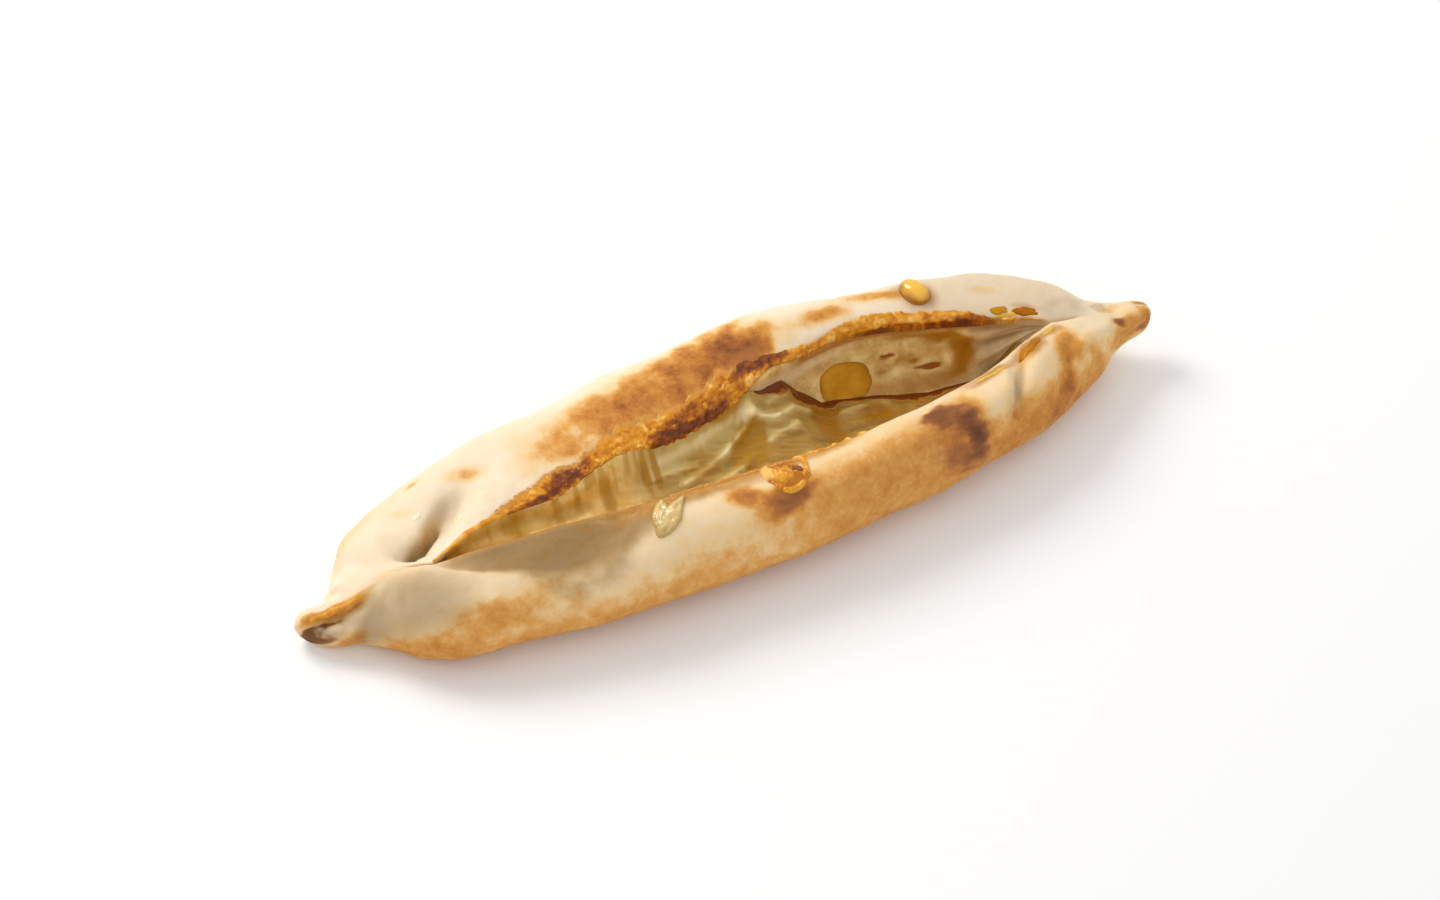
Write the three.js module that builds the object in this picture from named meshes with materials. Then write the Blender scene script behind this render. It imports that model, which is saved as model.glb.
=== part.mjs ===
// A boat-shaped flatbread pie filled with labneh and honey: soft dough pinched shut at both ends, its two
// side walls rolled in towards a long slot, and the filling's skin showing between their lips.
// Millimetres. X runs along the pie, +Y points to its back wall and +Z up; it rests on its flat underside.
import * as THREE from "three";

// Overall sizes.
const LENGTH = 240;
const TIP_ROUND = 6; // length over which each pinched end rounds off
const BELT = 0.45; // share of a wall's height at which it is widest
const SOLE = 0.5; // share of a wall's half width that lies flat underneath
const LIP = 1.8; // height of the dough's edge at the slot
const LIP_GAP = 0.5; // width left between the two lips where the seam is shut
const SHUT_LIP = 0.55; // height of the dough's edge along that seam
const CRUMB_FLOOR = 5.5; // height of the hollow's lowest line above the table
const HOLLOW_REACH = 9; // half width of the slot at which the hollow is at its full depth
const SEAM_DEPTH = 0.3; // depth of the closed seam below the lips
const SEAM_FADE = 12; // length over which the closed seam grows shallow beyond the slot
const SEAM_LEAST = 0.2; // share of its depth that the seam keeps to the tips
const CLEARANCE = 0.4; // gap between touching solids

// The dough's outline at places along the pie: x, half width of the front wall, half width of the back wall,
// height of the walls' crest, height of the underside.
const BODY = [
  [-120, 4.6, 1.2, 10.0, 1.0],
  [-116, 7.2, 1.2, 10.4, 0.6],
  [-111, 9.8, 2.2, 10.8, 0.3],
  [-106, 12.2, 9.5, 13.4, 0.1],
  [-101, 16.8, 17.0, 17.4, 0],
  [-94, 23.8, 20.0, 20.5, 0],
  [-82, 29.0, 24.0, 23.5, 0],
  [-64, 32.0, 29.0, 25.5, 0],
  [-40, 34.5, 31.5, 26.5, 0],
  [-12, 34.5, 35.5, 27.0, 0],
  [16, 33.0, 38.0, 27.0, 0],
  [44, 29.5, 33.0, 26.5, 0],
  [66, 25.0, 31.0, 26.0, 0],
  [82, 19.8, 27.5, 25.0, 0],
  [94, 13.4, 22.5, 22.3, 0],
  [102, 9.2, 15.4, 19.8, 1.5],
  [108, 4.8, 8.0, 17.6, 5.0],
  [113, 3.4, 4.6, 17.8, 7.5],
  [120, 3.4, 4.0, 18.6, 8.0],
];
const [FRONT, BACK, CREST, UNDER] = [1, 2, 3, 4];

// The slot's two lips: x, y of the front lip, y of the back lip, how far each lies below its wall's crest,
// and how much of each wall's width its inward roll takes.
const LIPS = [
  [-85, -9.5, -9.0, 1.0, 1.0, 0.2, 0.2],
  [-68, -11.5, -4.0, 1.0, 2.0, 0.2, 0.25],
  [-48, -13.5, -2.5, 1.0, 4.0, 0.2, 0.4],
  [-26, -15.5, 2.0, 1.5, 6.0, 0.25, 0.5],
  [-4, -16.6, 6.0, 2.5, 6.0, 0.4, 0.5],
  [18, -16.2, 14.0, 3.5, 5.0, 0.5, 0.5],
  [40, -13.6, 18.0, 4.0, 4.5, 0.5, 0.5],
  [62, -9.5, 13.0, 4.0, 4.0, 0.5, 0.5],
  [69, -7.7, 10.6, 3.8, 3.6, 0.5, 0.5],
  [80, -3.2, 6.4, 3.2, 3.0, 0.5, 0.5],
  [86, -0.6, 4.2, 2.6, 2.4, 0.4, 0.4],
  [91, 1.3, 1.8, 2.0, 2.0, 0.4, 0.4],
];
const [LIP_FRONT, LIP_BACK, DROP_FRONT, DROP_BACK, ROLL_FRONT, ROLL_BACK] = [1, 2, 3, 4, 5, 6];
const SLOT_START = LIPS[0][0];
const SLOT_END = LIPS[LIPS.length - 1][0];

// The pinched seam beyond each end of the slot: x and y.
const SEAM_LEFT = [
  [-120, -2.2],
  [-104, -4.0],
  [-94, -5.5],
  [-88, -7.8],
  [-85, -9.25],
];
const SEAM_RIGHT = [
  [91, 1.55],
  [98, 1.0],
  [106, 0.6],
  [120, 0.5],
];

// Creases, hollows and swellings of the dough, each along a line on one wall: wall, x and distance from the
// lip at its two ends, half width, and depth (negative where the dough swells).
const FOLDS = [
  { wall: BACK, from: [-90, 1.5], to: [-76, 11], reach: 4.2, depth: 3.4 }, // fold at the slot's left end
  { wall: BACK, from: [-89, 4], to: [-81, 9.5], reach: 1.4, depth: 2.0 }, // notch along the foot of that fold
  { wall: BACK, from: [-76, 11], to: [-64, 17], reach: 6.5, depth: 1.6 }, // where that fold runs out
  { wall: FRONT, from: [-62, 19], to: [-34, 19], reach: 6.5, depth: -1.0 }, // swelling below the dish
  { wall: FRONT, from: [75, 5], to: [70.5, 19], reach: 2.4, depth: 2.2 }, // first crease at the right
  { wall: FRONT, from: [82, 9], to: [77, 16], reach: 4.2, depth: -0.9 }, // swelling beside it
  { wall: FRONT, from: [93, 8], to: [86, 21], reach: 1.8, depth: 1.5 }, // second crease at the right
  { wall: FRONT, from: [96, 9], to: [89.5, 22], reach: 1.6, depth: -0.7 }, // ridge beyond it
  { wall: BACK, from: [-99, 3], to: [-104, 12], reach: 2.6, depth: 1.2 }, // gather beside the left pinch
  { wall: FRONT, from: [-100, 2], to: [-103, 14], reach: 2.6, depth: 1.3 }, // gather in front of it
  { wall: BACK, from: [101, 2], to: [104, 10], reach: 2.6, depth: 0.9 }, // gather beside the right pinch
];

// The dish pressed into the front wall under the left part of its lip: x, distance from the lip at which it
// ends, depth. It is deepest at a share of that distance and has run out a little beyond it.
const DISH = [
  [-86, 0.5, 0],
  [-80, 4.7, 1.0],
  [-75, 7.2, 1.8],
  [-70, 9.2, 2.4],
  [-65, 11.5, 2.8],
  [-60, 13.6, 3.0],
  [-55, 15.2, 3.2],
  [-50, 15.2, 3.2],
  [-46, 13.5, 2.8],
  [-43, 11.5, 2.2],
  [-41, 9.0, 1.8],
  [-38, 6.5, 1.2],
  [-34, 4.5, 0.6],
  [-28, 2.5, 0],
];
const [DISH_END, DISH_DEPTH] = [1, 2];
const DISH_FLOOR = 0.82; // share at which the dish is deepest
const DISH_RIM = 1.2; // share at which it has run out

// The labneh inside the hollow: x, how far down the hollow its skin meets the back wall and the front wall
// (0 at the lip, 1 at the floor), and how far the skin sags between them. On the left the skin hangs from the
// back lip; on the right it has torn off and dropped to the floor.
const FILL = [
  [-82, 0.04, 0.2, 0.1],
  [-70, 0.04, 0.3, 0.3],
  [-48, 0.04, 0.45, 1.0],
  [-20, 0.04, 0.55, 2.2],
  [10, 0.05, 0.6, 2.4],
  [20, 0.16, 0.62, 2.4],
  [24, 0.5, 0.62, 2.0],
  [30, 0.8, 0.62, 1.4],
  [42, 0.9, 0.62, 0.8],
  [50, 0.95, 0.64, 0.6],
  [58, 0.975, 0.65, 0.5],
  [70, 0.97, 0.65, 0.4],
  [78, 0.93, 0.6, 0.3],
  [84, 0.8, 0.5, 0.2],
];
const [FILL_BACK, FILL_FRONT, SAG] = [1, 2, 3];
const WRINKLE = { height: 0.45, lengthX: 3.4, lengthY: 2.6, bend: 2.2, bendLength: 5 };
const FILL_TAPER = 2; // length over which the labneh runs out at each end

// Drops lying on the dough: wall, x and distance from the lip, the two half lengths, turn of the long one
// towards the lip in degrees, height, and how strongly it narrows to a tail.
const DROPS = {
  honey_drop_back: { wall: BACK, at: [61, 9.5], half: [4.2, 4.3], turn: 0, rise: 2.8, tail: 0 },
  honey_drop_front: { wall: FRONT, at: [-26.4, 7.3], half: [7.3, 2.9], turn: 41, rise: 1.4, tail: 0.8 },
  honey_blister_front: { wall: FRONT, at: [5, 5.7], half: [5.7, 5.2], turn: 0, rise: 2.2, tail: 0 },
};

const DROP_EDGE = 0.25; // extra height over the middle that keeps a drop's edge blunt

// Unevenness of the dough: slow swellings, quicker ripples, and the twist of its ends.
const SWELL = { height: 0.35, lengthX: 9.5, lengthS: 7, drift: 31, wallPhase: 1.7 };
const RIPPLE = { height: 0.2, lengthX: 5.3, lengthS: 6 };
const TWIST = { height: 0.4, start: 102, full: 110, alongX: 0.9, alongS: 0.8 };
const LIP_FADE = 3; // distance from a lip over which relief grows to its full height
const SHUT_FADE = 1; // the same where the lips are shut
const SOLE_FADE = 8; // the same from the flat underside

// Mesh density.
const RINGS = 92;
const RING_CROWDING = 0.66; // how much closer rings lie at the pinched ends, 0 for evenly spaced
const ROLL_STEPS = 4;
const SHOULDER_STEPS = 6;
const HEEL_STEPS = 4;
const SOLE_STEPS = 2;
const HOLLOW_STEPS = 10;
const FILL_RINGS = 46;
const FILL_CROWDING = 0.3;
const FILL_STEPS = 9;
const DROP_RINGS = 4;
const DROP_SPOKES = 16;
const SKIN_DETAIL = 4; // times more points per profile when a drop is laid on the dough
const SKIN_STEP = 0.5; // distance over which the skin's slope is taken

const { clamp, lerp, smoothstep, degToRad } = THREE.MathUtils;

// Smooth curve through one column of a table, at x.
function along(table, column, x) {
  const last = table.length - 1;
  const slope = (i) => (table[i + 1][column] - table[i][column]) / (table[i + 1][0] - table[i][0]);
  const tangent = (i) => (slope(Math.max(i - 1, 0)) + slope(Math.min(i, last - 1))) / 2;
  const at = clamp(x, table[0][0], table[last][0]);
  let i = 0;
  while (i < last - 1 && at > table[i + 1][0]) i++;
  const h = table[i + 1][0] - table[i][0];
  const t = (at - table[i][0]) / h;
  return (
    (2 * t ** 3 - 3 * t ** 2 + 1) * table[i][column] +
    (t ** 3 - 2 * t ** 2 + t) * h * tangent(i) +
    (3 * t ** 2 - 2 * t ** 3) * table[i + 1][column] +
    (t ** 3 - t ** 2) * h * tangent(i + 1)
  );
}

// Straight run through one column of a table, at x.
function between(table, column, x) {
  const i = clamp(table.findIndex((row) => row[0] > x), 1, table.length - 1);
  const [low, high] = [table[i - 1], table[i]];
  return lerp(low[column], high[column], clamp((x - low[0]) / (high[0] - low[0]), 0, 1));
}

// Every size of the cross section at x. The ends shrink to a rounded tip.
function sectionAt(x) {
  const past = clamp((Math.abs(x) - (LENGTH / 2 - TIP_ROUND)) / TIP_ROUND, 0, 1);
  const cap = Math.sqrt(1 - past ** 2);
  const front = -along(BODY, FRONT, x);
  const back = along(BODY, BACK, x);
  const crest = along(BODY, CREST, x);
  const under = Math.max(along(BODY, UNDER, x), 0);
  const middle = (front + back) / 2;
  const height = (crest + under) / 2;
  const closed = x < SLOT_START || x > SLOT_END;
  const seam = x < 0 ? along(SEAM_LEFT, 1, x) : along(SEAM_RIGHT, 1, x);
  const slotEnd = x < 0 ? -SLOT_START : SLOT_END;
  const open = closed ? smoothstep(slotEnd - Math.abs(x), -SEAM_FADE, 0) : 1;
  const seamShare = Math.max(open, SEAM_LEAST);
  return {
    middle,
    crest: lerp(height, crest, cap),
    under: lerp(height, under, cap),
    open,
    lipTop: closed ? SHUT_LIP * seamShare : LIP,
    seamDepth: SEAM_DEPTH * seamShare,
    [FRONT]: {
      side: -1,
      edge: lerp(middle, front, cap),
      lip: closed ? lerp(middle, seam, cap) - LIP_GAP / 2 * cap : along(LIPS, LIP_FRONT, x),
      drop: along(LIPS, DROP_FRONT, x) * open,
      roll: along(LIPS, ROLL_FRONT, x),
    },
    [BACK]: {
      side: 1,
      edge: lerp(middle, back, cap),
      lip: closed ? lerp(middle, seam, cap) + LIP_GAP / 2 * cap : along(LIPS, LIP_BACK, x),
      drop: along(LIPS, DROP_BACK, x) * open,
      roll: along(LIPS, ROLL_BACK, x),
    },
  };
}

// How deep the folds press the dough in at x and a distance from the lip on one wall.
function foldDepth(wall, x, distance) {
  let depth = 0;
  for (const fold of FOLDS) {
    if (fold.wall !== wall) continue;
    const dx = fold.to[0] - fold.from[0];
    const ds = fold.to[1] - fold.from[1];
    const covered = (x - fold.from[0]) * dx + (distance - fold.from[1]) * ds;
    const t = clamp(covered / (dx ** 2 + ds ** 2), 0, 1);
    const away = Math.hypot(x - fold.from[0] - t * dx, distance - fold.from[1] - t * ds);
    depth += fold.depth * Math.exp(-((away / fold.reach) ** 2));
  }
  return wall === FRONT ? depth + dishDepth(x, distance) : depth;
}

// How deep the dish presses the front wall in at x and a distance from its lip.
function dishDepth(x, distance) {
  const share = distance / between(DISH, DISH_END, x);
  const slope = Math.sin((Math.PI / 2) * clamp(share / DISH_FLOOR, 0, 1));
  return between(DISH, DISH_DEPTH, x) * slope * (1 - smoothstep(share, DISH_FLOOR, DISH_RIM));
}

// Slow unevenness of hand-shaped dough, and the ridges wound round its two twisted ends.
function unevenness(x, distance, side) {
  const across = Math.sin(distance / SWELL.lengthS + x / SWELL.drift);
  const slow = SWELL.height * Math.sin(x / SWELL.lengthX + side * SWELL.wallPhase) * across;
  const quick = RIPPLE.height * Math.sin(x / RIPPLE.lengthX + distance / RIPPLE.lengthS);
  const twisted = TWIST.height * smoothstep(Math.abs(x), TWIST.start, TWIST.full);
  return slow + quick + twisted * Math.sin(x * TWIST.alongX + side * distance * TWIST.alongS);
}

// Outer profile of one wall at x, from its lip over the crest and down to the underside: points [y, z].
function wallProfile(section, x, wall, detail) {
  const { side, edge, lip, drop, roll } = section[wall];
  const { crest, under, middle } = section;
  const belt = lerp(under, crest, BELT);
  const top = lip + roll * (edge - lip);
  const sole = lerp(middle, edge, SOLE);
  const quarter = Math.PI / 2;
  const arc = (steps, place) => {
    const angles = Array.from({ length: steps * detail }, (_, i) => (i / steps / detail) * quarter);
    return angles.map((a) => place(Math.cos(a), Math.sin(a)));
  };
  const points = [
    ...arc(ROLL_STEPS, (cos, sin) => [top + (lip - top) * cos, crest - drop + drop * sin]),
    ...arc(SHOULDER_STEPS, (cos, sin) => [top + (edge - top) * sin, belt + (crest - belt) * cos]),
    ...arc(HEEL_STEPS, (cos, sin) => [sole + (edge - sole) * cos, belt + (under - belt) * sin]),
    [sole, under],
  ];
  const lipFade = lerp(SHUT_FADE, LIP_FADE, section.open);
  let distance = 0;
  const reach = points.map((p, i) => {
    if (i) distance += Math.hypot(p[0] - points[i - 1][0], p[1] - points[i - 1][1]);
    return distance;
  });
  return points.map(([y, z], i) => {
    const before = points[Math.max(i - 1, 0)];
    const after = points[Math.min(i + 1, points.length - 1)];
    const [dy, dz] = [after[0] - before[0], after[1] - before[1]];
    const run = Math.hypot(dy, dz) || 1;
    const fade = smoothstep(reach[i], 0, lipFade) * smoothstep(distance - reach[i], 0, SOLE_FADE);
    const push = (unevenness(x, reach[i], side) - foldDepth(wall, x, reach[i])) * fade;
    return [y - side * (dz / run) * push, Math.max(z + side * (dy / run) * push, under)];
  });
}

// The hollow between the lips at x: a half ellipse, given by its middle, half width, top heights and depth.
function hollowAt(section) {
  const front = section[FRONT];
  const back = section[BACK];
  const lipTop = section.lipTop;
  const half = (back.lip - front.lip) / 2;
  const zFront = section.crest - front.drop - lipTop;
  const zBack = section.crest - back.drop - lipTop;
  const open = smoothstep(half, 0, HOLLOW_REACH);
  return {
    middle: (front.lip + back.lip) / 2,
    half,
    zFront,
    zBack,
    depth: section.seamDepth + Math.max((zFront + zBack) / 2 - CRUMB_FLOOR, 0) * open,
  };
}

// Point of the hollow at an angle, from the back lip (0) through the floor to the front lip (pi).
function hollowPoint(hollow, angle, inset = 0) {
  const top = lerp(hollow.zBack, hollow.zFront, (1 - Math.cos(angle)) / 2);
  return [
    hollow.middle + (hollow.half - inset) * Math.cos(angle),
    top - (hollow.depth - inset) * Math.sin(angle),
  ];
}

// Places along X for rings: close together at the ends, where the dough narrows fast.
function places(count, from, to, crowding) {
  return Array.from({ length: count }, (_, i) => {
    const t = (i + 0.5) / count;
    const eased = t - (crowding * Math.sin(2 * Math.PI * t)) / (2 * Math.PI);
    return lerp(from, to, eased);
  });
}

// Closed solid from rings of equally many points [x, y, z], shut by one point beyond each end.
function loftOf(rings, first, last) {
  const size = rings[0].length;
  const points = [first, ...rings.flat(), last].flat();
  const at = (ring, i) => 1 + ring * size + (i % size);
  const faces = [];
  for (let i = 0; i < size; i++) {
    faces.push(0, at(0, i), at(0, i + 1));
    for (let r = 0; r < rings.length - 1; r++) {
      faces.push(at(r, i), at(r + 1, i), at(r + 1, i + 1));
      faces.push(at(r, i), at(r + 1, i + 1), at(r, i + 1));
    }
    faces.push(at(rings.length - 1, i), rings.length * size + 1, at(rings.length - 1, i + 1));
  }
  const geometry = new THREE.BufferGeometry();
  geometry.setAttribute("position", new THREE.Float32BufferAttribute(points, 3));
  geometry.setIndex(faces);
  geometry.computeVertexNormals();
  return geometry;
}

// The dough. Each ring runs from the front lip round the underside to the back lip, then through the hollow.
function breadGeometry() {
  const rings = places(RINGS, -LENGTH / 2, LENGTH / 2, RING_CROWDING).map((x) => {
    const section = sectionAt(x);
    const front = wallProfile(section, x, FRONT, 1);
    const back = wallProfile(section, x, BACK, 1).reverse();
    const sole = Array.from({ length: SOLE_STEPS - 1 }, (_, i) => [
      lerp(front[front.length - 1][0], back[0][0], (i + 1) / SOLE_STEPS),
      section.under,
    ]);
    const hollow = hollowAt(section);
    const angles = Array.from({ length: HOLLOW_STEPS + 1 }, (_, i) => (Math.PI * i) / HOLLOW_STEPS);
    const inside = angles.map((angle) => hollowPoint(hollow, angle));
    return [...front, ...sole, ...back, ...inside].map(([y, z]) => [x, y, z]);
  });
  const tip = (x) => {
    const { middle, crest, under } = sectionAt(x);
    return [x, middle, (crest + under) / 2];
  };
  return loftOf(rings, tip(-LENGTH / 2), tip(LENGTH / 2));
}

// Ring of the labneh at x: along the hollow from the back wall to the front wall, then back along its
// wrinkled skin. A size of 1 is the whole section, 0 its middle.
function labnehRing(x, size) {
  const hollow = hollowAt(sectionAt(x));
  const backAngle = Math.asin(between(FILL, FILL_BACK, x));
  const frontAngle = Math.PI - Math.asin(between(FILL, FILL_FRONT, x));
  const sag = between(FILL, SAG, x);
  const shares = Array.from({ length: FILL_STEPS + 1 }, (_, i) => i / FILL_STEPS);
  const under = shares.map((t) => hollowPoint(hollow, lerp(backAngle, frontAngle, t), CLEARANCE));
  const [backEdge, frontEdge] = [under[0], under[FILL_STEPS]];
  const skin = shares.slice(1, -1).map((t) => {
    const y = lerp(frontEdge[0], backEdge[0], t);
    const bend = WRINKLE.bend * Math.sin(y / WRINKLE.bendLength);
    const wrinkle = WRINKLE.height * Math.sin(x / WRINKLE.lengthX + y / WRINKLE.lengthY + bend);
    return [y, lerp(frontEdge[1], backEdge[1], t) + (wrinkle - sag) * Math.sin(Math.PI * t)];
  });
  const ring = [...under, ...skin];
  const middle = [0, 1].map((axis) => ring.reduce((sum, p) => sum + p[axis], 0) / ring.length);
  return ring.map(([y, z]) => [x, lerp(middle[0], y, size), lerp(middle[1], z, size)]);
}

// The labneh, which fills the hollow below a skin that hangs between the two walls.
function labnehGeometry() {
  const [first, last] = [FILL[0][0], FILL[FILL.length - 1][0]];
  const sizeAt = (x) => Math.min(1, (x - first) / FILL_TAPER, (last - x) / FILL_TAPER);
  const rings = places(FILL_RINGS, first, last, FILL_CROWDING).map((x) => labnehRing(x, sizeAt(x)));
  return loftOf(rings, labnehRing(first, 0)[0], labnehRing(last, 0)[0]);
}

// Point of the dough's outer skin at x and a distance from the lip of one wall.
function skinPoint(wall, x, distance) {
  const profile = wallProfile(sectionAt(x), x, wall, SKIN_DETAIL);
  let left = distance;
  for (let i = 1; i < profile.length; i++) {
    const step = Math.hypot(profile[i][0] - profile[i - 1][0], profile[i][1] - profile[i - 1][1]);
    if (left <= step) {
      const t = left / step;
      return new THREE.Vector3(
        x,
        lerp(profile[i - 1][0], profile[i][0], t),
        lerp(profile[i - 1][1], profile[i][1], t),
      );
    }
    left -= step;
  }
  throw new Error("a drop reaches past the underside");
}

// A domed drop on the dough's skin, its underside following the skin a little above it.
function dropGeometry({ wall, at, half, turn, rise, tail }) {
  const angle = degToRad(turn);
  const place = (share, spoke, lift) => {
    const around = (2 * Math.PI * spoke) / DROP_SPOKES;
    const long = half[0] * share * Math.cos(around);
    const narrowed = 1 - tail * Math.max(0, Math.cos(around)) * share;
    const wide = half[1] * share * Math.sin(around) * narrowed;
    const x = at[0] + long * Math.cos(angle) + wide * Math.sin(angle);
    const s = at[1] - long * Math.sin(angle) + wide * Math.cos(angle);
    const alongX = skinPoint(wall, x + SKIN_STEP, s).sub(skinPoint(wall, x - SKIN_STEP, s));
    const alongS = skinPoint(wall, x, s + SKIN_STEP).sub(skinPoint(wall, x, s - SKIN_STEP));
    const normal = alongX.cross(alongS).normalize();
    if (normal.z < 0) normal.negate();
    return skinPoint(wall, x, s).addScaledVector(normal, CLEARANCE + lift).toArray();
  };
  const shares = Array.from({ length: DROP_RINGS }, (_, i) => (i + 1) / DROP_RINGS);
  const dome = (share) => rise * Math.sqrt(1 - share ** 2) + DROP_EDGE * (1 - share);
  const ring = (share, lift) => Array.from({ length: DROP_SPOKES }, (_, k) => place(share, k, lift));
  const belly = shares.map((share) => ring(share, 0));
  const crown = shares.slice(0, -1).reverse().map((share) => ring(share, dome(share)));
  return loftOf([...belly, ...crown], place(0, 0, 0), place(0, 0, dome(0)));
}

// Signed volume, which is negative where the faces point inwards.
function volumeOf(geometry) {
  const position = geometry.getAttribute("position");
  const [a, b, c] = [new THREE.Vector3(), new THREE.Vector3(), new THREE.Vector3()];
  let sum = 0;
  for (let i = 0; i < geometry.index.count; i += 3) {
    a.fromBufferAttribute(position, geometry.index.getX(i));
    b.fromBufferAttribute(position, geometry.index.getX(i + 1));
    c.fromBufferAttribute(position, geometry.index.getX(i + 2));
    sum += a.dot(b.cross(c)) / 6;
  }
  return sum;
}

// Turns every face over.
function turnedOver(geometry) {
  const index = geometry.index;
  for (let i = 0; i < index.count; i += 3) {
    const second = index.getX(i + 1);
    index.setX(i + 1, index.getX(i + 2));
    index.setX(i + 2, second);
  }
  return geometry;
}

const pie = new THREE.Group();
const crust = new THREE.MeshStandardMaterial({ color: 0xdcb684, roughness: 0.75, metalness: 0 });
const cream = new THREE.MeshStandardMaterial({ color: 0xd6c48c, roughness: 0.45, metalness: 0 });
const honey = new THREE.MeshStandardMaterial({ color: 0xd99a2b, roughness: 0.12, metalness: 0 });

// Adds one solid with its faces pointing out.
function addPart(name, geometry, material) {
  const mesh = new THREE.Mesh(volumeOf(geometry) < 0 ? turnedOver(geometry) : geometry, material);
  mesh.name = name;
  pie.add(mesh);
}

addPart("bread", breadGeometry(), crust);
addPart("labneh", labnehGeometry(), cream);
for (const [name, drop] of Object.entries(DROPS)) addPart(name, dropGeometry(drop), honey);

// The origin is under the middle of the whole pie, on the table.
const box = new THREE.Box3().setFromObject(pie);
pie.position.set(-(box.min.x + box.max.x) / 2, -(box.min.y + box.max.y) / 2, -box.min.z);

const root = new THREE.Group();
root.add(pie);
export default root;
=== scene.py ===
import math
from functools import partial

import bpy
import numpy as np
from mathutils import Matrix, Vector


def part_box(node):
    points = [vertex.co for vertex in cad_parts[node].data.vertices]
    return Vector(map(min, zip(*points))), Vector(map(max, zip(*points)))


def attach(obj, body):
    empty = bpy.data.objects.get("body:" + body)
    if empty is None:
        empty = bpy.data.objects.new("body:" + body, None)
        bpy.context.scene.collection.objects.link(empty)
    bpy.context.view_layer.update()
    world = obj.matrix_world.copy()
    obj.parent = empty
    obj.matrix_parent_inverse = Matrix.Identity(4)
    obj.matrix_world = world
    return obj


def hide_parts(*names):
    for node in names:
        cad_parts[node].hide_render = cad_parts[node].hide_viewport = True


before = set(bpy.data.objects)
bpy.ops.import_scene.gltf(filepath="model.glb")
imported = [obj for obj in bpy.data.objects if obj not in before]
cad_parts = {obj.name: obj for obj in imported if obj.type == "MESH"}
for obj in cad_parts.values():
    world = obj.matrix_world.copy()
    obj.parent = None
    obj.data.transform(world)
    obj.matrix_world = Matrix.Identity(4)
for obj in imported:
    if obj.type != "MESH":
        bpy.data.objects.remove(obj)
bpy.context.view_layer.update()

# A baked, boat-shaped flatbread pie filled with labneh and honey. Its surfaces are worked out in millimetres
# from the same driving sizes as its solids, and its meshes are written in metres.
MM = 0.001

# Length of the dough, the roundness of its tips, and the shares of its height and half width at which a wall
# is widest and its underside begins.
LENGTH, TIP_ROUND = 240.0, 6.0
BELT, SOLE = 0.45, 0.5

# Height of the lips' rounded edge, the gap between shut lips, and their edge there.
LIP, LIP_GAP, SHUT_LIP = 1.8, 0.5, 0.55

# Dough under the hollow, half width at which the hollow gets its full depth, and depth and reach of the seam.
CRUMB_FLOOR, HOLLOW_REACH = 5.5, 9.0
SEAM_DEPTH, SEAM_FADE = 0.3, 12.0

# Outline of the dough: x, half width in front and behind, height of the crest and of the underside.
BODY = [
    [-120, 4.6, 1.2, 10, 1], [-116, 7.2, 1.2, 10.4, 0.6], [-111, 9.8, 2.2, 10.8, 0.3],
    [-106, 12.2, 9.5, 13.4, 0.1], [-101, 16.8, 17, 17.4, 0], [-94, 23.8, 20, 20.5, 0], [-82, 29, 24, 23.5, 0],
    [-64, 32, 29, 25.5, 0], [-40, 34.5, 31.5, 26.5, 0], [-12, 34.5, 35.5, 27, 0], [16, 33, 38, 27, 0],
    [44, 29.5, 33, 26.5, 0], [66, 25, 31, 26, 0], [82, 19.8, 27.5, 25, 0], [94, 13.4, 22.5, 22.3, 0],
    [102, 9.2, 15.4, 19.8, 1.5], [108, 4.8, 8, 17.6, 5], [113, 3.4, 4.6, 17.8, 7.5], [120, 3.4, 4, 18.6, 8],
]
FRONT, BACK, CREST, UNDER = 1, 2, 3, 4
SIDE = {FRONT: -1.0, BACK: 1.0}

# Lips of the slot: x, y of the front lip and of the back lip, how far each lies below its crest, and the
# share of each wall that its inward roll takes.
LIPS = [
    [-85, -9.5, -9, 1, 1, 0.2, 0.2], [-68, -11.5, -4, 1, 2, 0.2, 0.25], [-48, -13.5, -2.5, 1, 4, 0.2, 0.4],
    [-26, -15.5, 2, 1.5, 6, 0.25, 0.5], [-4, -16.6, 6, 2.5, 6, 0.4, 0.5], [18, -16.2, 14, 3.5, 5, 0.5, 0.5],
    [40, -13.6, 18, 4, 4.5, 0.5, 0.5], [62, -9.5, 13, 4, 4, 0.5, 0.5], [69, -7.7, 10.6, 3.8, 3.6, 0.5, 0.5],
    [80, -3.2, 6.4, 3.2, 3, 0.5, 0.5], [86, -0.6, 4.2, 2.6, 2.4, 0.4, 0.4], [91, 1.3, 1.8, 2, 2, 0.4, 0.4],
]
LIP_Y, LIP_DROP, LIP_ROLL = {FRONT: 1, BACK: 2}, {FRONT: 3, BACK: 4}, {FRONT: 5, BACK: 6}
SLOT_START, SLOT_END = LIPS[0][0], LIPS[-1][0]

# Seam past each end of the slot: x and y.
SEAM_LEFT = [[-120, -2.2], [-104, -4], [-94, -5.5], [-88, -7.8], [-85, -9.25]]
SEAM_RIGHT = [[91, 1.55], [98, 1], [106, 0.6], [120, 0.5]]

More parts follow.
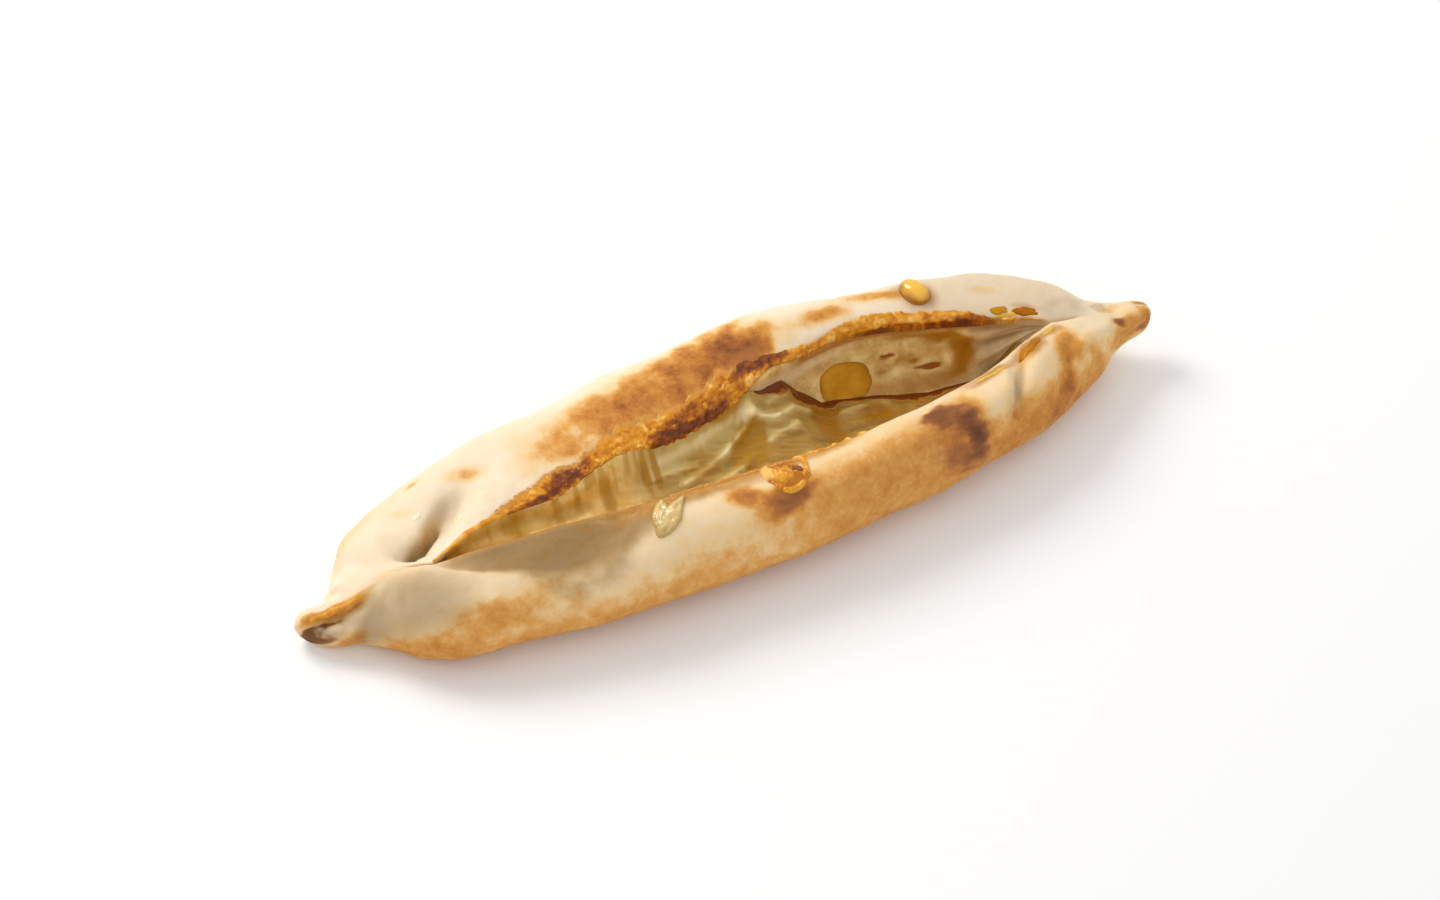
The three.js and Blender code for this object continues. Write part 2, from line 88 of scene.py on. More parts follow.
# Folds of the dough: wall, x and distance from the lip at both ends, half width, depth.
FOLDS = [
    (BACK, -90, 1.5, -76, 11, 4.2, 3.4), (BACK, -89, 4, -81, 9.5, 1.4, 2), (BACK, -76, 11, -64, 17, 6.5, 1.6),
    (FRONT, -62, 19, -34, 19, 6.5, -1), (FRONT, 75, 5, 70.5, 19, 2.4, 2.2), (FRONT, 82, 9, 77, 16, 4.2, -0.9),
    (FRONT, 93, 8, 86, 21, 1.8, 1.5), (FRONT, 96, 9, 89.5, 22, 1.6, -0.7), (BACK, -99, 3, -104, 12, 2.6, 1.2),
    (FRONT, -100, 2, -103, 14, 2.6, 1.3), (BACK, 101, 2, 104, 10, 2.6, 0.9),
]

# Finer folds, on the skin only.
PLEATS = [
    (BACK, -106, 12, -98, 20, 5, 1.5), (BACK, -92, 3.2, -88, 5, 0.7, 0.8),
    (BACK, -88.5, 5, -80, 10, 0.8, 1.2), (FRONT, -102, 1.6, -110, 1.4, 1.1, -1.3),
    (FRONT, -110, 1.4, -118, 0.8, 1.3, -1.4), (FRONT, -104, 5, -113, 4.2, 1.3, 1.2),
    (FRONT, -113, 4.2, -118, 4.6, 1.2, 1.2), (FRONT, -106, 9, -114, 8, 1.6, -0.8),
    (BACK, -108, 3, -117, 2.4, 1.2, 1), (FRONT, -98, 6, -101, 12, 1, 0.5), (FRONT, -93, 4, -95, 11, 1.2, 0.4),
    (FRONT, 112, 3, 108, 1.6, 1.2, 0.7), (FRONT, 116, 1, 113, 8, 1.6, -0.6),
    (BACK, 106, 2.5, 104, 6, 1.2, 0.8), (FRONT, 99, 4, 93, 9, 1.6, 0.5), (FRONT, 93, 8, 86, 21, 1.9, -1.1),
    (FRONT, 94, 11, 88, 21, 0.6, -0.5), (FRONT, 92.6, 12, 87, 21, 0.5, 0.5),
]

# Distances over which the skin's unevenness fades out at an open lip, at shut lips and before the underside,
# and the underside's own width.
LIP_FADE, SHUT_FADE, SOLE_FADE, SOLE_REACH = 3.0, 5.0, 8.0, 12.0

# Dish under the left part of the front lip: x, distance from the lip at which it ends, depth.
DISH = [
    [-86, 0.5, 0], [-80, 4.7, 1], [-75, 7.2, 1.8], [-70, 9.2, 2.4], [-65, 11.5, 2.8], [-60, 13.6, 3],
    [-55, 15.2, 3.2], [-50, 15.2, 3.2], [-46, 13.5, 2.8], [-43, 11.5, 2.2], [-41, 9, 1.8], [-38, 6.5, 1.2],
    [-34, 4.5, 0.6], [-28, 2.5, 0],
]

# Shares of that distance at which the dish is deepest and gone.
DISH_FLOOR, DISH_RIM = 0.82, 1.2

# Painted shade along the front lip, over the dish and past it: x, width, strength.
SHADED = [
    [-86, 0.5, 0], [-80, 5.5, 0.7], [-75, 9, 0.9], [-70, 11.5, 1], [-65, 14.5, 1], [-60, 19.5, 1],
    [-55, 22, 1], [-50, 21, 1], [-46, 20.5, 1], [-43, 18.5, 1], [-39, 15.5, 1], [-35, 12, 0.95],
    [-31, 9.5, 0.9], [-26, 7, 0.8], [-20, 6, 0.7], [-12, 5, 0.6], [-4, 3.8, 0.5], [10, 3, 0.4],
    [26, 2.4, 0.3], [36, 2, 0],
]

# Labneh: x, share of the hollow's depth where its skin meets the back wall and the front wall, and its sag.
FILL = [
    [-82, 0.04, 0.2, 0.1], [-70, 0.04, 0.3, 0.3], [-48, 0.04, 0.45, 1], [-20, 0.04, 0.55, 2.2],
    [10, 0.05, 0.6, 2.4], [20, 0.16, 0.62, 2.4], [24, 0.5, 0.62, 2], [30, 0.8, 0.62, 1.4],
    [42, 0.9, 0.62, 0.8], [50, 0.95, 0.64, 0.6], [58, 0.975, 0.65, 0.5], [70, 0.97, 0.65, 0.4],
    [78, 0.93, 0.6, 0.3], [84, 0.8, 0.5, 0.2],
]

# Creases of the labneh's skin: x and share of the way to its front edge at both ends, half width, height.
CREASES = [
    (-20, 0.14, -7, 0.1, 1, 0.9), (-7, 0.1, 2, 0.07, 1, 0.9), (5.5, 0.13, 15, 0.32, 1.3, 1.6),
    (15, 0.32, 25, 0.26, 1.3, 1.5), (-1.5, 0.34, 9, 0.16, 1.3, 1.5), (-23, 0.26, -11, 0.34, 1.3, 1),
    (-15, 0.51, -3, 0.38, 1.3, 1.2), (11, 0.49, 19, 0.46, 1.6, 1.2), (-8, 0.72, 3, 0.58, 1.4, 0.9),
    (33, 0.25, 46, 0.2, 1.3, 0.9), (14, 0.14, 22, 0.1, 1.2, 0.8),
]

# Its fine wrinkles: how far they are drawn out along it, their slant, size and seed.
WRINKLES, CRIMPS = (0.17, 0.12, 3.6, 51), (0.3, 0.3, 1.8, 55)

# Folds that fan out at the slot's right end: height, length along the pie, and how many go round the hollow.
THROAT_FOLDS, THROAT_LENGTH, THROAT_COUNT = 1.3, 40, 8

# Camera, fitted to the photograph's framing, and the studio: a square key lamp, a pale sky and a pale floor.
AZIMUTH, ELEVATION = -23.725, 50.0
DISTANCE, LENS, SENSOR = 1023.5, 100.0, 36
TARGET = (-2.0, 3.5, 12.0)
KEY = {"azimuth": 205, "elevation": 45, "distance": 0.9}
KEY_TARGET, KEY_SIZE, KEY_ENERGY, KEY_TINT = (0, 0, 0.01), 0.4, 4.2, (1.0, 0.98, 0.94)
SKY, FLOOR, FLOOR_SIZE = 0.8, 0.94, 2.0

# Mesh density, and how closely its rows crowd towards the tips and its columns towards the lips.
CURVE_STEPS = 48
BREAD_RINGS, WALL_POINTS, HOLLOW_POINTS = 400, 92, 56
SKIN_ROWS, SKIN_POINTS, BELLY_POINTS = 400, 110, 26
TIP_CROWDING, LIP_CROWDING = 0.6, 1.15


# Weights of a smooth run between two places: the first place, its slope, the second place, its slope.
def run_weights(t):
    return 2 * t**3 - 3 * t**2 + 1, t**3 - 2 * t**2 + t, 3 * t**2 - 2 * t**3, t**3 - t**2


# Smooth curve through one column of a table.
def along(table, column, x):
    table = np.asarray(table, float)
    knots, values = table[:, 0], table[:, column]
    secants = np.diff(values) / np.diff(knots)
    slopes = np.concatenate([secants[:1], (secants[:-1] + secants[1:]) / 2, secants[-1:]])
    at = np.clip(x, knots[0], knots[-1])
    i = np.clip(np.searchsorted(knots, at, side="right") - 1, 0, len(knots) - 2)
    h = knots[i + 1] - knots[i]
    start, leave, end, arrive = run_weights((at - knots[i]) / h)
    return start * values[i] + leave * h * slopes[i] + end * values[i + 1] + arrive * h * slopes[i + 1]


# Straight runs through one column of a table.
def between(table, column, x):
    table = np.asarray(table, float)
    return np.interp(x, table[:, 0], table[:, column])


def smoothstep(value, low, high):
    t = np.clip((value - low) / (high - low), 0, 1)
    return t * t * (3 - 2 * t)


def falling(value, low, high):
    return 1 - smoothstep(value, low, high)


def lerp(a, b, t):
    return a + (b - a) * t


def cos_sin(degrees):
    return math.cos(math.radians(degrees)), math.sin(math.radians(degrees))


# Smooth three-dimensional noise from -1 to 1, with features about `size` across.
def noise(points, size, seed, octaves=1):
    total = np.zeros(points.shape[:-1])
    for octave in range(octaves):
        total += gradient_noise(points / size * 2**octave, seed + octave) / 2**octave
    return total


def gradient_noise(points, seed):
    slopes, gain = 256, 1.6
    rng = np.random.default_rng(seed)
    order = rng.permutation(slopes)
    directions = rng.normal(size=(slopes, 3))
    directions /= np.linalg.norm(directions, axis=1, keepdims=True)
    cell = np.floor(points).astype(int)
    part = points - cell
    fade = part**3 * (part * (part * 6 - 15) + 10)
    total = np.zeros(points.shape[:-1])
    for corner in np.ndindex(2, 2, 2):
        index = 0
        for axis in range(3):
            index = order[(index + cell[..., axis] + corner[axis]) % slopes]
        slope = (directions[index] * (part - corner)).sum(axis=-1)
        weight = np.prod(np.where(np.array(corner) == 1, fade, 1 - fade), axis=-1)
        total += weight * slope
    return total * gain


# The dough's cross section at each x. Its ends shrink to a rounded tip.
def section(x):
    past = np.clip((np.abs(x) - (LENGTH / 2 - TIP_ROUND)) / TIP_ROUND, 0, 1)
    cap = np.sqrt(1 - past**2)
    edge = {FRONT: -along(BODY, FRONT, x), BACK: along(BODY, BACK, x)}
    crest, under = along(BODY, CREST, x), np.maximum(along(BODY, UNDER, x), 0)
    middle, height = (edge[FRONT] + edge[BACK]) / 2, (crest + under) / 2
    closed = (x < SLOT_START) | (x > SLOT_END)
    seam = np.where(x < 0, along(SEAM_LEFT, 1, x), along(SEAM_RIGHT, 1, x))
    slot_end = np.where(x < 0, -SLOT_START, SLOT_END)
    open_part = np.where(closed, smoothstep(slot_end - np.abs(x), -SEAM_FADE, 0), 1)
    cut = {
        "middle": middle,
        "crest": lerp(height, crest, cap),
        "under": lerp(height, under, cap),
        "lip_top": np.where(closed, SHUT_LIP * open_part, LIP),
        "open": open_part,
    }
    for wall in SIDE:
        closed_lip = lerp(middle, seam, cap) + SIDE[wall] * LIP_GAP / 2 * cap
        cut[wall] = {
            "edge": lerp(middle, edge[wall], cap),
            "lip": np.where(closed, closed_lip, along(LIPS, LIP_Y[wall], x)),
            "drop": along(LIPS, LIP_DROP[wall], x) * open_part,
            "roll": along(LIPS, LIP_ROLL[wall], x),
        }
    return cut


def columns_of(cut, *keys):
    return (np.asarray(cut[key], float)[:, None] for key in keys)


# Outline of one wall at each x, from its lip over the crest to the middle of the underside: rows of (y, z).
def wall_curve(wall, x):
    cut = section(x)
    edge, lip, drop, roll = columns_of(cut[wall], "edge", "lip", "drop", "roll")
    crest, under, middle = columns_of(cut, "crest", "under", "middle")
    belt, top, sole = lerp(under, crest, BELT), lip + roll * (edge - lip), lerp(middle, edge, SOLE)
    angle = np.linspace(0, math.pi / 2, CURVE_STEPS + 1)[None, :]
    cos, sin = np.cos(angle), np.sin(angle)
    flat = np.linspace(0, 1, CURVE_STEPS // 2 + 1)[None, 1:]
    y = [top + (lip - top) * cos[:, :-1], top + (edge - top) * sin[:, :-1], sole + (edge - sole) * cos,
         lerp(sole, middle, flat)]
    z = [crest - drop + drop * sin[:, :-1], belt + (crest - belt) * cos[:, :-1], belt + (under - belt) * sin,
         under + 0 * flat]
    return np.stack([np.concatenate(y, axis=1), np.concatenate(z, axis=1)], axis=-1)


# The hollow between the lips at each x: half an ellipse from the back lip through the floor to the front lip.
def hollow_shape(x):
    cut = section(x)
    top = {wall: cut["crest"] - cut[wall]["drop"] - cut["lip_top"] for wall in SIDE}
    half = (cut[BACK]["lip"] - cut[FRONT]["lip"]) / 2
    depth = np.maximum((top[FRONT] + top[BACK]) / 2 - CRUMB_FLOOR, 0) * smoothstep(half, 0, HOLLOW_REACH)
    middle = (cut[FRONT]["lip"] + cut[BACK]["lip"]) / 2
    return middle, half, top[BACK], top[FRONT], SEAM_DEPTH * cut["open"] + depth


def hollow_at(x, angle):
    middle, half, back_top, front_top, depth = hollow_shape(x)
    y = middle + half * np.cos(angle)
    z = lerp(back_top, front_top, (1 - np.cos(angle)) / 2) - depth * np.sin(angle)
    return np.stack([y, z], axis=-1)


def hollow_curve(x):
    return hollow_at(np.asarray(x, float)[:, None], np.linspace(0, math.pi, 2 * CURVE_STEPS)[None, :])


# How far round the hollow the labneh's skin meets the back wall and the front wall.
def fill_angles(x):
    return np.arcsin(between(FILL, 1, x)), math.pi - np.arcsin(between(FILL, 2, x))


# Skin of the labneh at each x, from the back wall to the front wall.
def skin_curve(x):
    x = np.asarray(x, float)[:, None]
    back, front = (hollow_at(x, angle) for angle in fill_angles(x))
    share = np.linspace(0, 1, CURVE_STEPS)[None, :]
    curve = lerp(back, front, share[..., None])
    curve[..., 1] -= between(FILL, 3, x) * np.sin(math.pi * share)
    return curve


def steps_of(curve):
    return np.linalg.norm(np.diff(curve, axis=1), axis=2)


def length_of(curve):
    return steps_of(curve).sum(axis=1)


# Distance of each point from the start of its curve.
def distances(curve):
    return np.concatenate([np.zeros((len(curve), 1)), np.cumsum(steps_of(curve), axis=1)], axis=1)


# Points at distances s (rows by columns) along curves (rows of y, z), with the unit normals to their left.
def walk(curve, s):
    step, tiny = 0.2, 1e-9
    length = distances(curve)
    place, slope = np.empty(s.shape + (2,)), np.empty(s.shape + (2,))
    for row in range(len(curve)):
        for axis in (0, 1):
            value = curve[row, :, axis]
            place[row, :, axis] = np.interp(s[row], length[row], value)
            ahead = np.interp(np.minimum(s[row] + step, length[row, -1]), length[row], value)
            behind = np.interp(np.maximum(s[row] - step, 0), length[row], value)
            slope[row, :, axis] = ahead - behind
    slope /= np.maximum(np.linalg.norm(slope, axis=2, keepdims=True), tiny)
    return place, np.stack([-slope[..., 1], slope[..., 0]], axis=-1), length[:, -1]


# Points from x for each row and (y, z) for each row and column.
def with_x(x, place):
    return np.concatenate([np.broadcast_to(x[:, None], place.shape[:2])[..., None], place], axis=-1)


# Soft ridge along a stretch that starts at the origin and ends at (run_u, run_v).
def ridge(u, v, run_u, run_v, reach):
    t = np.clip((u * run_u + v * run_v) / (run_u**2 + run_v**2), 0, 1)
    return np.exp(-((np.hypot(u - t * run_u, v - t * run_v) / reach) ** 2))


def fold_depth(wall, x, s):
    depth = np.zeros(np.broadcast(x, s).shape)
    for which, x1, s1, x2, s2, reach, deep in FOLDS + PLEATS:
        if which == wall:
            depth += deep * ridge(x - x1, s - s1, x2 - x1, s2 - s1, reach)
    if wall == FRONT:
        share = s / between(DISH, 1, x)
        dish = np.sin(math.pi / 2 * np.clip(share / DISH_FLOOR, 0, 1)) * falling(share, DISH_FLOOR, DISH_RIM)
        depth = depth + between(DISH, 2, x) * dish
    return depth


def unevenness(wall, x, s):
    side = SIDE[wall]
    slow = 0.35 * np.sin(x / 9.5 + side * 1.7) * np.sin(s / 7 + x / 31)
    quick = 0.2 * np.sin(x / 5.3 + s / 6)
    twisted = 0.4 * smoothstep(np.abs(x), 102, 110) * np.sin(x * 0.9 + side * s * 0.8)
    return slow + quick + twisted - fold_depth(wall, x, s)


# Points on the outer skin of one wall: x for each row, distance from the lip for each row and column.
def outside(wall, x, s, lift=0.0):
    x, s = np.asarray(x, float), np.asarray(s, float)
    place, normal, length = walk(wall_curve(wall, x), s)
    points = with_x(x, place)
    column, length, opened = x[:, None], length[:, None], section(x)["open"][:, None]
    seam = (unevenness(FRONT, column, 0 * column) + unevenness(BACK, column, 0 * column)) / 2 * (1 - opened)
    own = unevenness(wall, points[..., 0], s)
    push = lerp(seam, own, smoothstep(s, 0, lerp(SHUT_FADE, LIP_FADE, opened)))
    sole = np.minimum(SOLE_REACH, 0.4 * length)
    push = push * smoothstep(length - s, sole, sole + SOLE_FADE * sole / SOLE_REACH)
    rough = 0.28 * noise(points, 7.0, 11, 2) + 0.07 * noise(points, 1.9, 21, 2)
    push = push + rough * lerp(0.35, 1.0, smoothstep(s, 0, 4)) * smoothstep(length - s, 2, 14)
    points[..., 1:] += normal * SIDE[wall] * (push + lift)[..., None]
    points[..., 2] = np.maximum(points[..., 2], np.minimum(place[..., 1], 0.0))
    return points


# Folds that run together at the slot's right end, at x and a share of the way round the hollow.
def throat_folds(x, share):
    fan = np.stack([x / THROAT_LENGTH, THROAT_COUNT * share, 0 * share], axis=-1)
    return THROAT_FOLDS * noise(fan, 1.0, 91, 2) * smoothstep(x, 62, 74)


# Points on the inside of the hollow: distance from the back lip for each row and column.
def inside(x, s, lift=0.0):
    x, s = np.asarray(x, float), np.asarray(s, float)
    place, normal, length = walk(hollow_curve(x), s)
    points = with_x(x, place)
    push = 0.25 * noise(points * (0.45, 1.0, 1.0), 4.0, 31, 2) + 0.05 * noise(points, 1.4, 41)
    push = push + throat_folds(points[..., 0], s / length[:, None])
    points[..., 1:] += -normal * (push * smoothstep(s, 0, 3) + lift)[..., None]
    return points


# The labneh's skin before and after its creases: points, the normals that push it out, and how far.
def labneh_relief(x, s):
    place, normal, length = walk(skin_curve(x), s)
    points = with_x(x, place)
    x2, length = points[..., 0], length[:, None]
    folds, crimp = (
        1 - np.abs(noise(points * (drawn, 1.0, 0.6) + (0, slant, 0) * x2[..., None], size, seed, 2)) * 2
        for drawn, slant, size, seed in (WRINKLES, CRIMPS)
    )
    runs = noise(points * (1.0, 0.15, 0.15), 4.5, 61, 2)
    left = smoothstep(-x2, 22, 40)
    push = (0.3 * folds + 0.14 * crimp) * (1 - left) + 0.45 * runs * left + 0.06 * noise(points, 1.1, 71)
    for first, start, last, end, reach, height in CREASES:
        run = last - first, (end - start) * length
        push = push + height * ridge(x2 - first, s - start * length, *run, reach)
    return points, -normal, push * smoothstep(s, 0, 2.5) * smoothstep(length - s, 0, 2)


# Points on the labneh's skin: distance from its back edge for each row and column.
def labneh_skin(x, s):
    points, outward, push = labneh_relief(np.asarray(x, float), np.asarray(s, float))
    points[..., 1:] += outward * push[..., None]
    return points


# How far the surfaces above are moved across the pie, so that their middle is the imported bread's.
def cross_shift():
    rows, columns = 481, 60
    x = np.linspace(-LENGTH / 2, LENGTH / 2, rows)
    reach = {}
    for wall in SIDE:
        curve = wall_curve(wall, x)
        s = np.linspace(0.2, 0.8, columns)[None, :] * length_of(curve)[:, None]
        place, normal, _ = walk(curve, s)
        push = unevenness(wall, x[:, None], s)
        reach[wall] = (SIDE[wall] * (place[..., 0] + normal[..., 0] * SIDE[wall] * push)).max()
    low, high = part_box("bread")
    return (low[1] + high[1]) / 2 / MM - (reach[BACK] - reach[FRONT]) / 2


SHIFT = np.array([0.0, cross_shift(), 0.0])


def link(name, data):
    thing = bpy.data.objects.new(name, data)
    bpy.context.scene.collection.objects.link(thing)
    return thing


# One mesh object from points in millimetres, faces and per-point values.
def add_mesh(name, points, faces, values, material, replaced=None):
    mesh = bpy.data.meshes.new(name)
    mesh.from_pydata(((points + SHIFT) * MM).tolist(), [], faces)
    for key, numbers in values.items():
        layer = mesh.attributes.new(key, "FLOAT", "POINT")
        layer.data.foreach_set("value", np.ascontiguousarray(numbers, dtype=np.float32).reshape(-1))
    mesh.polygons.foreach_set("use_smooth", [True] * len(mesh.polygons))
    mesh.materials.append(material)
    mesh.update()
    piece = link(name, mesh)
    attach(piece, "root")
    if replaced:
        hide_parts(replaced)


# Quads between neighbouring rows of a grid of points whose columns close into rings.
def ring_faces(rows, columns, start=0, turned=False):
    faces = []
    for row in range(rows - 1):
        for column in range(columns):
            here = start + row * columns + column
            right = start + row * columns + (column + 1) % columns
            quad = (here, right, right + columns, here + columns)
            faces.append(quad[::-1] if turned else quad)
    return faces


# The same, with the first and the last ring filled.
def tube_faces(rows, columns, turned=False):
    first, last = tuple(range(columns)), tuple(range((rows - 1) * columns, rows * columns))
    ends = [first, last[::-1]] if turned else [first[::-1], last]
    return ring_faces(rows, columns, turned=turned) + ends


# Adds up soft ellipses at (u, v) points: centre, half sizes, strength, and the turn in degrees where there is
# one. Noise warps their edges, which fade out from the share `sharp` of their half sizes.
def blots(spots, u, v, warp, sharp=0.5):
    gone = 1.5
    clear = np.ones(np.broadcast(u, v).shape)
    for at_u, at_v, half_u, half_v, strength, *turn in spots:
        cos, sin = cos_sin(sum(turn))
        du, dv = u - at_u, v - at_v
        away = np.hypot((du * cos + dv * sin) / half_u, (dv * cos - du * sin) / half_v) + warp
        clear = clear * (1 - strength * falling(away, sharp, gone))
    return 1 - clear


# Baked and scorched patches on each wall: x and distance from the lip, half sizes, strength, turn.
BAKED = {
    BACK: [
        (-53, 12, 5, 3.5, 0.16, -8), (-45, 13, 8, 5, 0.42, -8), (-47, 19, 8, 4, 0.16, -8),
        (-36, 19, 9, 5, 0.3), (-29, 15, 12, 8, 0.5, -5), (-16, 16, 13, 9, 0.52, -6),
        (-2, 15, 13, 10, 0.6, -6), (9, 12.5, 9, 9, 0.7, -20), (17, 9.5, 5, 6.5, 0.62, -20),
        (11, 9.5, 8, 4, 0.5, -14), (24.5, 8, 3.4, 4, 0.22), (6, 22, 11, 5, 0.22, -8), (-24, 9, 18, 5, 0.3),
        # The row at (-83, 9) browns the notch's valley as painted shade.
        (-67, 18.5, 5.5, 2.6, 0.4, -24), (-80, 27, 2.2, 1.2, 0.45), (-83, 9, 6, 2.4, 0.3, 36),
        (-86, 18, 3, 2, 0.14), (35.5, 8, 7, 2.8, 0.6, -8), (51, 10, 10, 2.2, 0.5, -4),
        (78, 9.5, 3.5, 1.5, 0.22), (-20, 46, 40, 10, 0.45), (45, 44, 30, 9, 0.5), (113, 5, 7, 6, 0.15),
        (118, 3, 3, 5, 0.6), (108, 1, 3, 1.2, 0.3),
    ],
    FRONT: [
        (-7.5, 8, 4.5, 3.2, 0.65, 10), (78, 7, 3, 2.4, 0.3), (2, 12.5, 8, 4.2, 0.62, -12),
        (48, 12, 7, 6, 0.16), (54, 16, 6, 10, 0.36), (74, 27, 18, 5, 0.2), (-22, 25, 20, 6, 0.2),
        (-18, 19, 14, 5, 0.14), (-68, 19, 14, 5, 0.26), (20, 2, 14, 2.4, 0.2), (91, 10, 4.6, 6, 0.55, 20),
        (88, 18, 4, 6, 0.4, 14), (98, 15, 4, 9, 0.3), (90, 26, 12, 5, 0.2), (-50, 26, 26, 6, 0.16),
        (-79, 19.5, 12, 4.5, 0.3), (-96, 24, 12, 4, 0.2), (113, 5, 6, 5, 0.45), (118, 5, 3, 6, 0.6),
        (108, 9, 5, 3, 0.35), (-108, 12, 4, 4, 0.3), (-110, 2, 8, 2.4, 0.6, 6), (-117, 2, 3, 2, 0.3),
        (-110, 12, 5, 4, 0.3),
    ],
}
SCORCHED = {
    BACK: [(12, 8.4, 6, 2.8, 0.25, -14)],
    FRONT: [
        (49.5, 9.5, 5.4, 3.4, 0.6, 24), (55, 13, 5, 3.4, 0.35, 30), (56.5, 18.5, 3.2, 5.4, 0.75, -4),
        (51.5, 22, 6, 5, 0.3), (57, 26, 5, 3, 0.3), (50, 15, 10, 10, 0.16), (4, 13.6, 6.4, 2.6, 0.5, -10),
        (0, 11.4, 4, 1.6, 0.3, -16), (-6.5, 8.6, 3, 2.4, 0.32), (109.6, 2.8, 2, 1.3, 0.6, 10),
        # The rows at x -118 and -115 darken the left knob's underside, partly scorch and partly painted
        # shade.
        (116, 7, 2.4, 1.6, 0.4), (-118, 6.5, 3.4, 2.6, 0.6), (-115, 8.5, 4, 1.6, 0.5, 10),
        (-113, 4.4, 4, 0.7, 0.4, 4), (-106, 3.6, 3, 0.5, 0.3),
    ],
}

# Painted shade: dough greyed and darkened where shade falls, in folds, creases, the notch and dimples.
# The same painted shade darkens the knobs' undersides and, more faintly, broad stretches of the walls.
PAINTED_SHADE = {
    BACK: [
        (-81.5, 10.4, 7.5, 2.4, 0.4, 38), (-86, 6.6, 5, 1.2, 0.95, 38), (-86.5, 6.2, 3.4, 0.9, 0.95, 38),
        (-76, 12, 6, 3.4, 0.3, 30), (-80, 24, 34, 14, 0.08), (-92, 7, 3.4, 4, 0.12), (97, 3, 7, 4, 0.3),
        (80, 12, 24, 14, 0.26), (106, 3, 2, 2, 0.5),
    ],
    FRONT: [
        (-103, 10, 4, 7, 0.5), (-96, 11, 12, 8, 0.5), (-88, 10, 10, 8, 0.4), (73, 11.5, 1.6, 6, 0.7, 24),
        (70, 17, 3, 4, 0.25), (-112, 5, 6, 3, 0.5), (-117, 8, 5, 4, 0.4),
    ],
}

# Amber stain along each lip: x, strength and width on the wall. It has one width inside the hollow.
STAINED = {
    BACK: [
        [-84, 0, 0.8], [-76, 0.6, 0.8], [-70, 0.9, 0.8], [-46, 0.9, 0.8], [-42, 0.75, 3], [-32, 0.75, 5],
        [-24, 0.8, 4.4], [-20, 0.9, 1.6], [8, 0.9, 1], [12, 0.15, 1], [22, 0.15, 1], [27, 0.85, 0.8],
        [76, 0.85, 0.8], [89, 0.6, 0.8], [91, 0, 0.8],
    ],
    FRONT: [
        [-84, 0, 0.8], [-80, 0.7, 1.6], [-50, 0.75, 1.8], [-38, 0.45, 3.6], [-30, 0.4, 4.4], [-20, 0.45, 4.2],
        [-12, 0.6, 3.4], [16, 0.7, 2.8], [26, 0.8, 1.2], [34, 0.8, 0.8], [44, 0.3, 0.8], [58, 0.5, 1],
        [63, 0.6, 1.8], [70, 0.5, 1.6], [78, 0.75, 2.4], [86, 0.6, 2], [91, 0, 0.8],
    ],
}
STAIN_IN_HOLLOW = 2.2

# Honey dripped on each wall: x and distance from the lip, half sizes, strength, turn.
DRIPPED = {
    # The first back row rings the round drop with amber: partly honey, partly painted light thrown by the
    # drop.
    BACK: [(61.3, 9.2, 4.3, 4.6, 0.7), (86, 4, 3.6, 1, 0.4)],
    FRONT: [
        (68, 4.6, 6, 1.5, 0.75, -6), (64, 3.2, 6, 2.8, 0.5, 8), (-6, 2, 13, 3.4, 0.7),
        (14, 1.6, 13, 2.6, 0.65), (-30, 1.6, 11, 3.8, 0.7), (80.3, 5, 5, 2.8, 0.9, 12),
        (87, 3.6, 4.6, 1.6, 0.8), (-47, 3, 2.6, 0.8, 0.3, 20), (-106, 1.5, 6, 0.7, 0.5, 2),
        (-114, 1.4, 4, 0.8, 0.6),
    ],
}

# Brown flecks inside the hollow: x and degrees round it, half sizes, strength, turn.
FLECKS = [
    (50.3, 30, 2.6, 3.4, 0.7), (57, 38, 2.4, 2.4, 0.5, -40), (60.5, 47, 3.6, 4, 0.8, 10),
    (48, 45, 2.6, 5, 0.35), (44, 33, 1.2, 2.5, 0.3),
]

# Honey soaked into the hollow's wall: x and degrees round it, half sizes, strength, turn.
SEEPED = [
    (53, 8, 6, 3.5, 0.6), (59, 9, 6, 4.5, 0.8), (65, 13, 4.5, 7, 0.9, 30), (69, 26, 2.8, 16, 0.95, -4),
    (69.6, 42, 2.6, 16, 0.95, 4), (67.6, 54, 2.4, 10, 0.6, 8), (61, 30, 4.5, 6, 0.35), (55, 37, 4, 5, 0.45),
    (46, 62, 4, 6, 0.35), (32, 20, 6, 4, 0.3), (44, 14, 8, 3, 0.3), (33, 44, 2.2, 14, 0.3),
    (60, 70, 8, 6, 0.35), (50, 66, 18, 12, 0.6),
]

